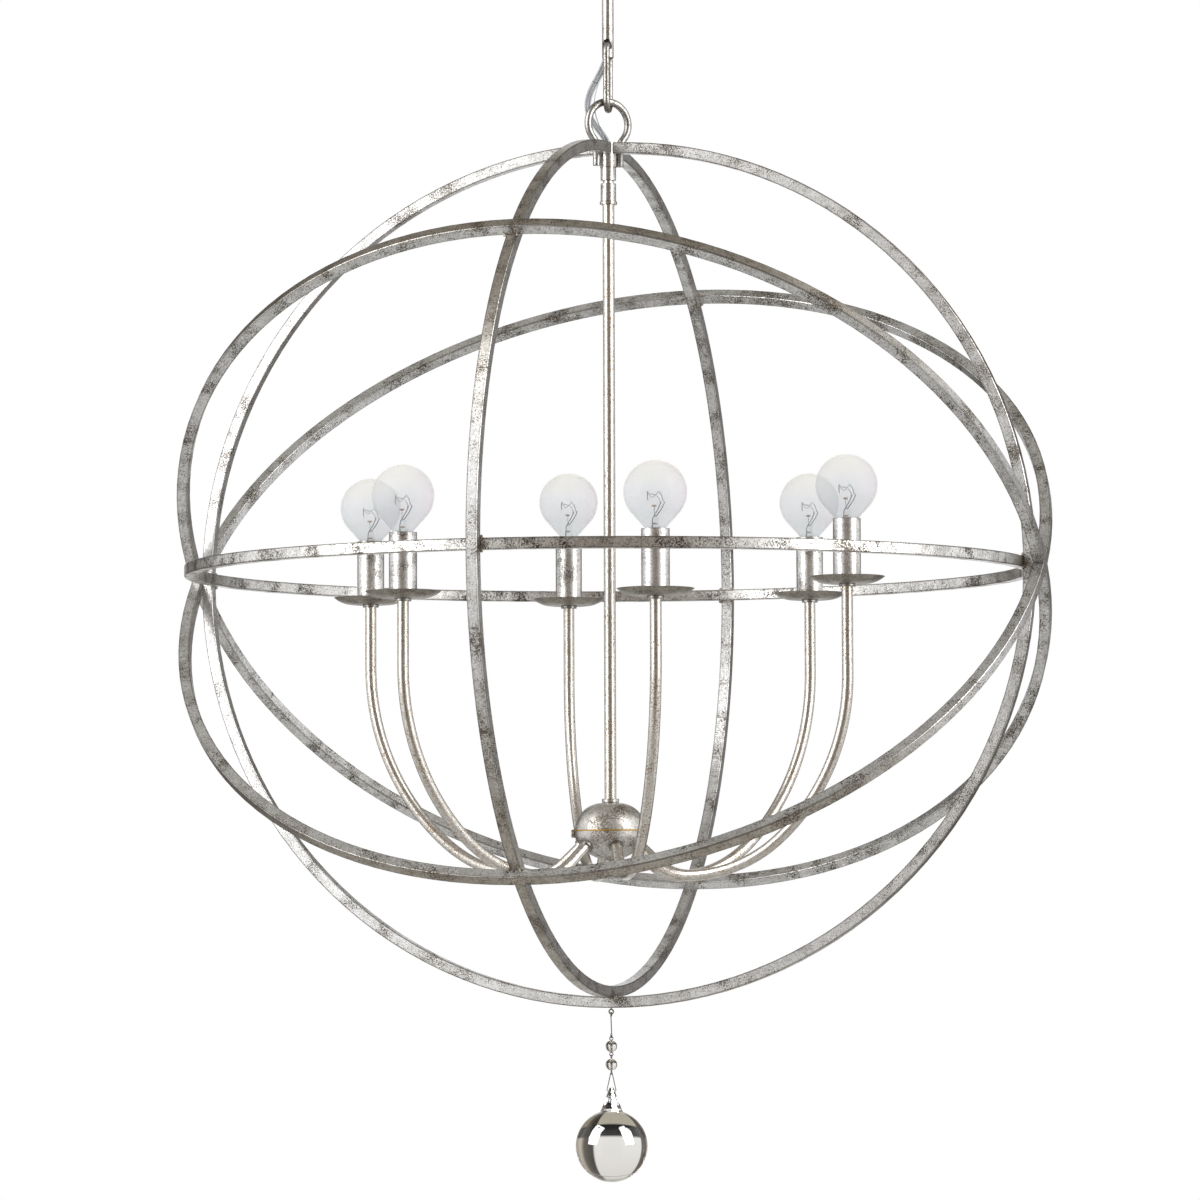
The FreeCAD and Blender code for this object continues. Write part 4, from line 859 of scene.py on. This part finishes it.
# %% The room that metal reflects
world = bpy.data.worlds.new("studio")
world.use_nodes = True
scene.world = world
tree = world.node_tree
background = tree.nodes["Background"]
rays = add(tree, "ShaderNodeLightPath").outputs
toward = add(tree, "ShaderNodeTexCoord").outputs["Generated"]
flattened = add(tree, "ShaderNodeVectorMath", {0: toward, 1: (1, 1, 0)}, operation="MULTIPLY").outputs[0]
level_way = add(tree, "ShaderNodeVectorMath", {0: flattened}, operation="NORMALIZE").outputs[0]
height = add(tree, "ShaderNodeSeparateXYZ", {0: toward}).outputs["Z"]
camera_side = Vector((behind_camera.x, behind_camera.y, 0)).normalized()


def at_angle(degrees):
    """Where an angle from a wall's middle falls between 0 and 1 on a ramp made by round_from."""
    return (math.cos(math.radians(degrees)) + 1) / 2


def round_from(side, stops):
    """Walls of a round room, coloured by the angle from one side of it."""
    facing = add(tree, "ShaderNodeVectorMath", {0: level_way, 1: side},
                 operation="DOT_PRODUCT").outputs["Value"]
    facing = add(tree, "ShaderNodeMapRange", {"Value": facing, "From Min": -1.0,
                                              "From Max": 1.0}).outputs["Result"]
    return add(tree, "ShaderNodeValToRGB", {"Fac": facing},
               stops=[(at_angle(angle), tone) for angle, tone in stops]).outputs["Color"]


walls = round_from(camera_side, [(180, "#ffffff"), (0, "#8a8076"), (168, "#ffffff"), (163, "#55504a"),
                                 (138, "#615c57"), (122, "#ffffff"), (40, "#ffffff"), (24, "#968d82")])
overhead = add(tree, "ShaderNodeMapRange", {"Value": height, "From Min": 0.45,
                                            "From Max": 0.75}).outputs["Result"]
roofed = add(tree, "ShaderNodeMix", {0: overhead, 6: walls, 7: colour("#aeaba5")},
             data_type="RGBA").outputs[2]
underfoot = add(tree, "ShaderNodeMapRange", {"Value": height, "From Min": -0.3,
                                             "From Max": -0.7}).outputs["Result"]
room = add(tree, "ShaderNodeMix", {0: underfoot, 6: roofed, 7: colour("#cfcecb")},
           data_type="RGBA").outputs[2]
print("camera's side of the room:", [round(part, 3) for part in camera_side])

# %% [markdown]
# A glass ball turns what is behind it upside down and takes in nearly the whole room, so it needs a room of
# its own: a dark table's edge low down, which shows as the dark band high in the ball, light above it, and
# dark drapes towards the sides, which draw the streaks along its rims. The drapes are turned a little,
# because the light middle of the picture's ball lies to one side.

# %% The room that glass shows
drape_turn = math.radians(12)
height_share = add(tree, "ShaderNodeMapRange", {"Value": height, "From Min": -1.0}).outputs["Result"]
by_height = add(tree, "ShaderNodeValToRGB", {"Fac": height_share}, stops=[
    (0.0, "#b4ae9e"), (1.0, "#7a7268"), (0.24, "#b4ae9e"), (0.26, "#121316"), (0.375, "#1c1c22"),
    (0.40, "#ebe9e6"), (0.90, "#dcd9d4")]).outputs["Color"]
glass_side = Matrix.Rotation(drape_turn, 3, "Z") @ camera_side
by_heading = round_from(glass_side, [(180, "#ffffff"), (0, "#d9d4cb"), (148, "#ffffff"), (145, "#2c241d"),
                                     (128, "#51453a"), (118, "#c4bdb1")])
through = add(tree, "ShaderNodeMix", {0: 1.0, 6: by_height, 7: by_heading}, data_type="RGBA",
              blend_type="MULTIPLY").outputs[2]
print("world:", len(tree.nodes), "nodes so far")

# %% [markdown]
# Light Path tells which ray asks. Matt surfaces get an even grey light, so a colour shows about as it is
# written. Shiny ones see the room, glass sees its own, and the camera sees plain white.

# %% Which ray sees what
even_light = (0.55, 0.55, 0.55, 1)
white = (1, 1, 1, 1)
seen = add(tree, "ShaderNodeMix", {0: rays["Is Glossy Ray"], 6: even_light, 7: room},
           data_type="RGBA").outputs[2]
for ray, view in (("Is Transmission Ray", through), ("Is Camera Ray", white)):
    seen = add(tree, "ShaderNodeMix", {0: rays[ray], 6: seen, 7: view}, data_type="RGBA").outputs[2]
tree.links.new(seen, background.inputs["Color"])
print("world:", len(tree.nodes), "nodes")

# %% [markdown]
# Two large soft boxes stand to the left and right of the camera and shape the metal. Two more light only the
# crystal ball and its prism, where they show as bright windows: polished glass reflects so little that lamps
# soft enough for the leaf would hardly show in it. Light linking keeps them off everything else.

# %% Soft boxes
crystal_only = bpy.data.collections.new("crystal_only")
for piece in (ball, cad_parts["drop_prism"]):
    crystal_only.objects.link(piece)
# Each box: degrees to the right of the camera, degrees up, width and height in metres, watts, what it lights
boxes = {
    "soft_box_left": (-60, 24, 1.4, 2.7, 47, None),
    "soft_box_right": (60, 24, 1.4, 2.7, 47, None),
    "sparkle_left": (-65, 26, 1.8, 3.1, 520, crystal_only),
    "sparkle_right": (61, 26, 1.8, 3.1, 520, crystal_only),
}
box_distance = 2.7
for name, (to_right, up, wide, high, power, lit) in boxes.items():
    lamp_data = bpy.data.lights.new(name, "AREA")
    lamp_data.shape = "RECTANGLE"
    lamp_data.size = wide
    lamp_data.size_y = high
    lamp_data.energy = power
    lamp = bpy.data.objects.new(name, lamp_data)
    scene.collection.objects.link(lamp)
    heading = camera_azimuth + math.radians(to_right)
    rise = math.radians(up)
    way = Vector((math.sin(heading) * math.cos(rise), -math.cos(heading) * math.cos(rise), math.sin(rise)))
    facing_orb = way.to_track_quat("Z", "Y").to_matrix().to_4x4()
    lamp.matrix_world = Matrix.Translation(orb_centre + way * box_distance) @ facing_orb
    lamp.visible_camera = False
    lamp.light_linking.receiver_collection = lit
print(len(boxes), "boxes")

# %% [markdown]
# A pale floor lies far below, where it takes the object's faint shadow. A little of its own light, for the
# camera's rays only, brings it near to the white of the ground. Glass and metal see the room instead of it.

# %% Floor
floor_height = -2.4
floor_form = bmesh.new()
bmesh.ops.create_grid(floor_form, x_segments=1, y_segments=1, size=20)
bmesh.ops.translate(floor_form, verts=floor_form.verts, vec=(0, 0, floor_height))
floor = bpy.data.objects.new("floor", smooth_mesh("floor", floor_form))
scene.collection.objects.link(floor)
pale_floor = plain_finish("pale_floor", "#f0f0ee", 0.9, 0.0, 400.0)
floor_tree = pale_floor.node_tree
floor_shader = floor_tree.nodes["Principled BSDF"]
floor_shader.inputs["Emission Color"].default_value = colour("#acacac")
seen_by_camera = add(floor_tree, "ShaderNodeLightPath").outputs["Is Camera Ray"]
floor_tree.links.new(seen_by_camera, floor_shader.inputs["Emission Strength"])
floor.data.materials.append(pale_floor)
floor.visible_transmission = False
floor.visible_glossy = False
print("floor at", floor_height, "m")

# %% [markdown]
# Last comes the view transform, which shows colours as they were written.

# %% View transform
scene.view_settings.view_transform = "Standard"
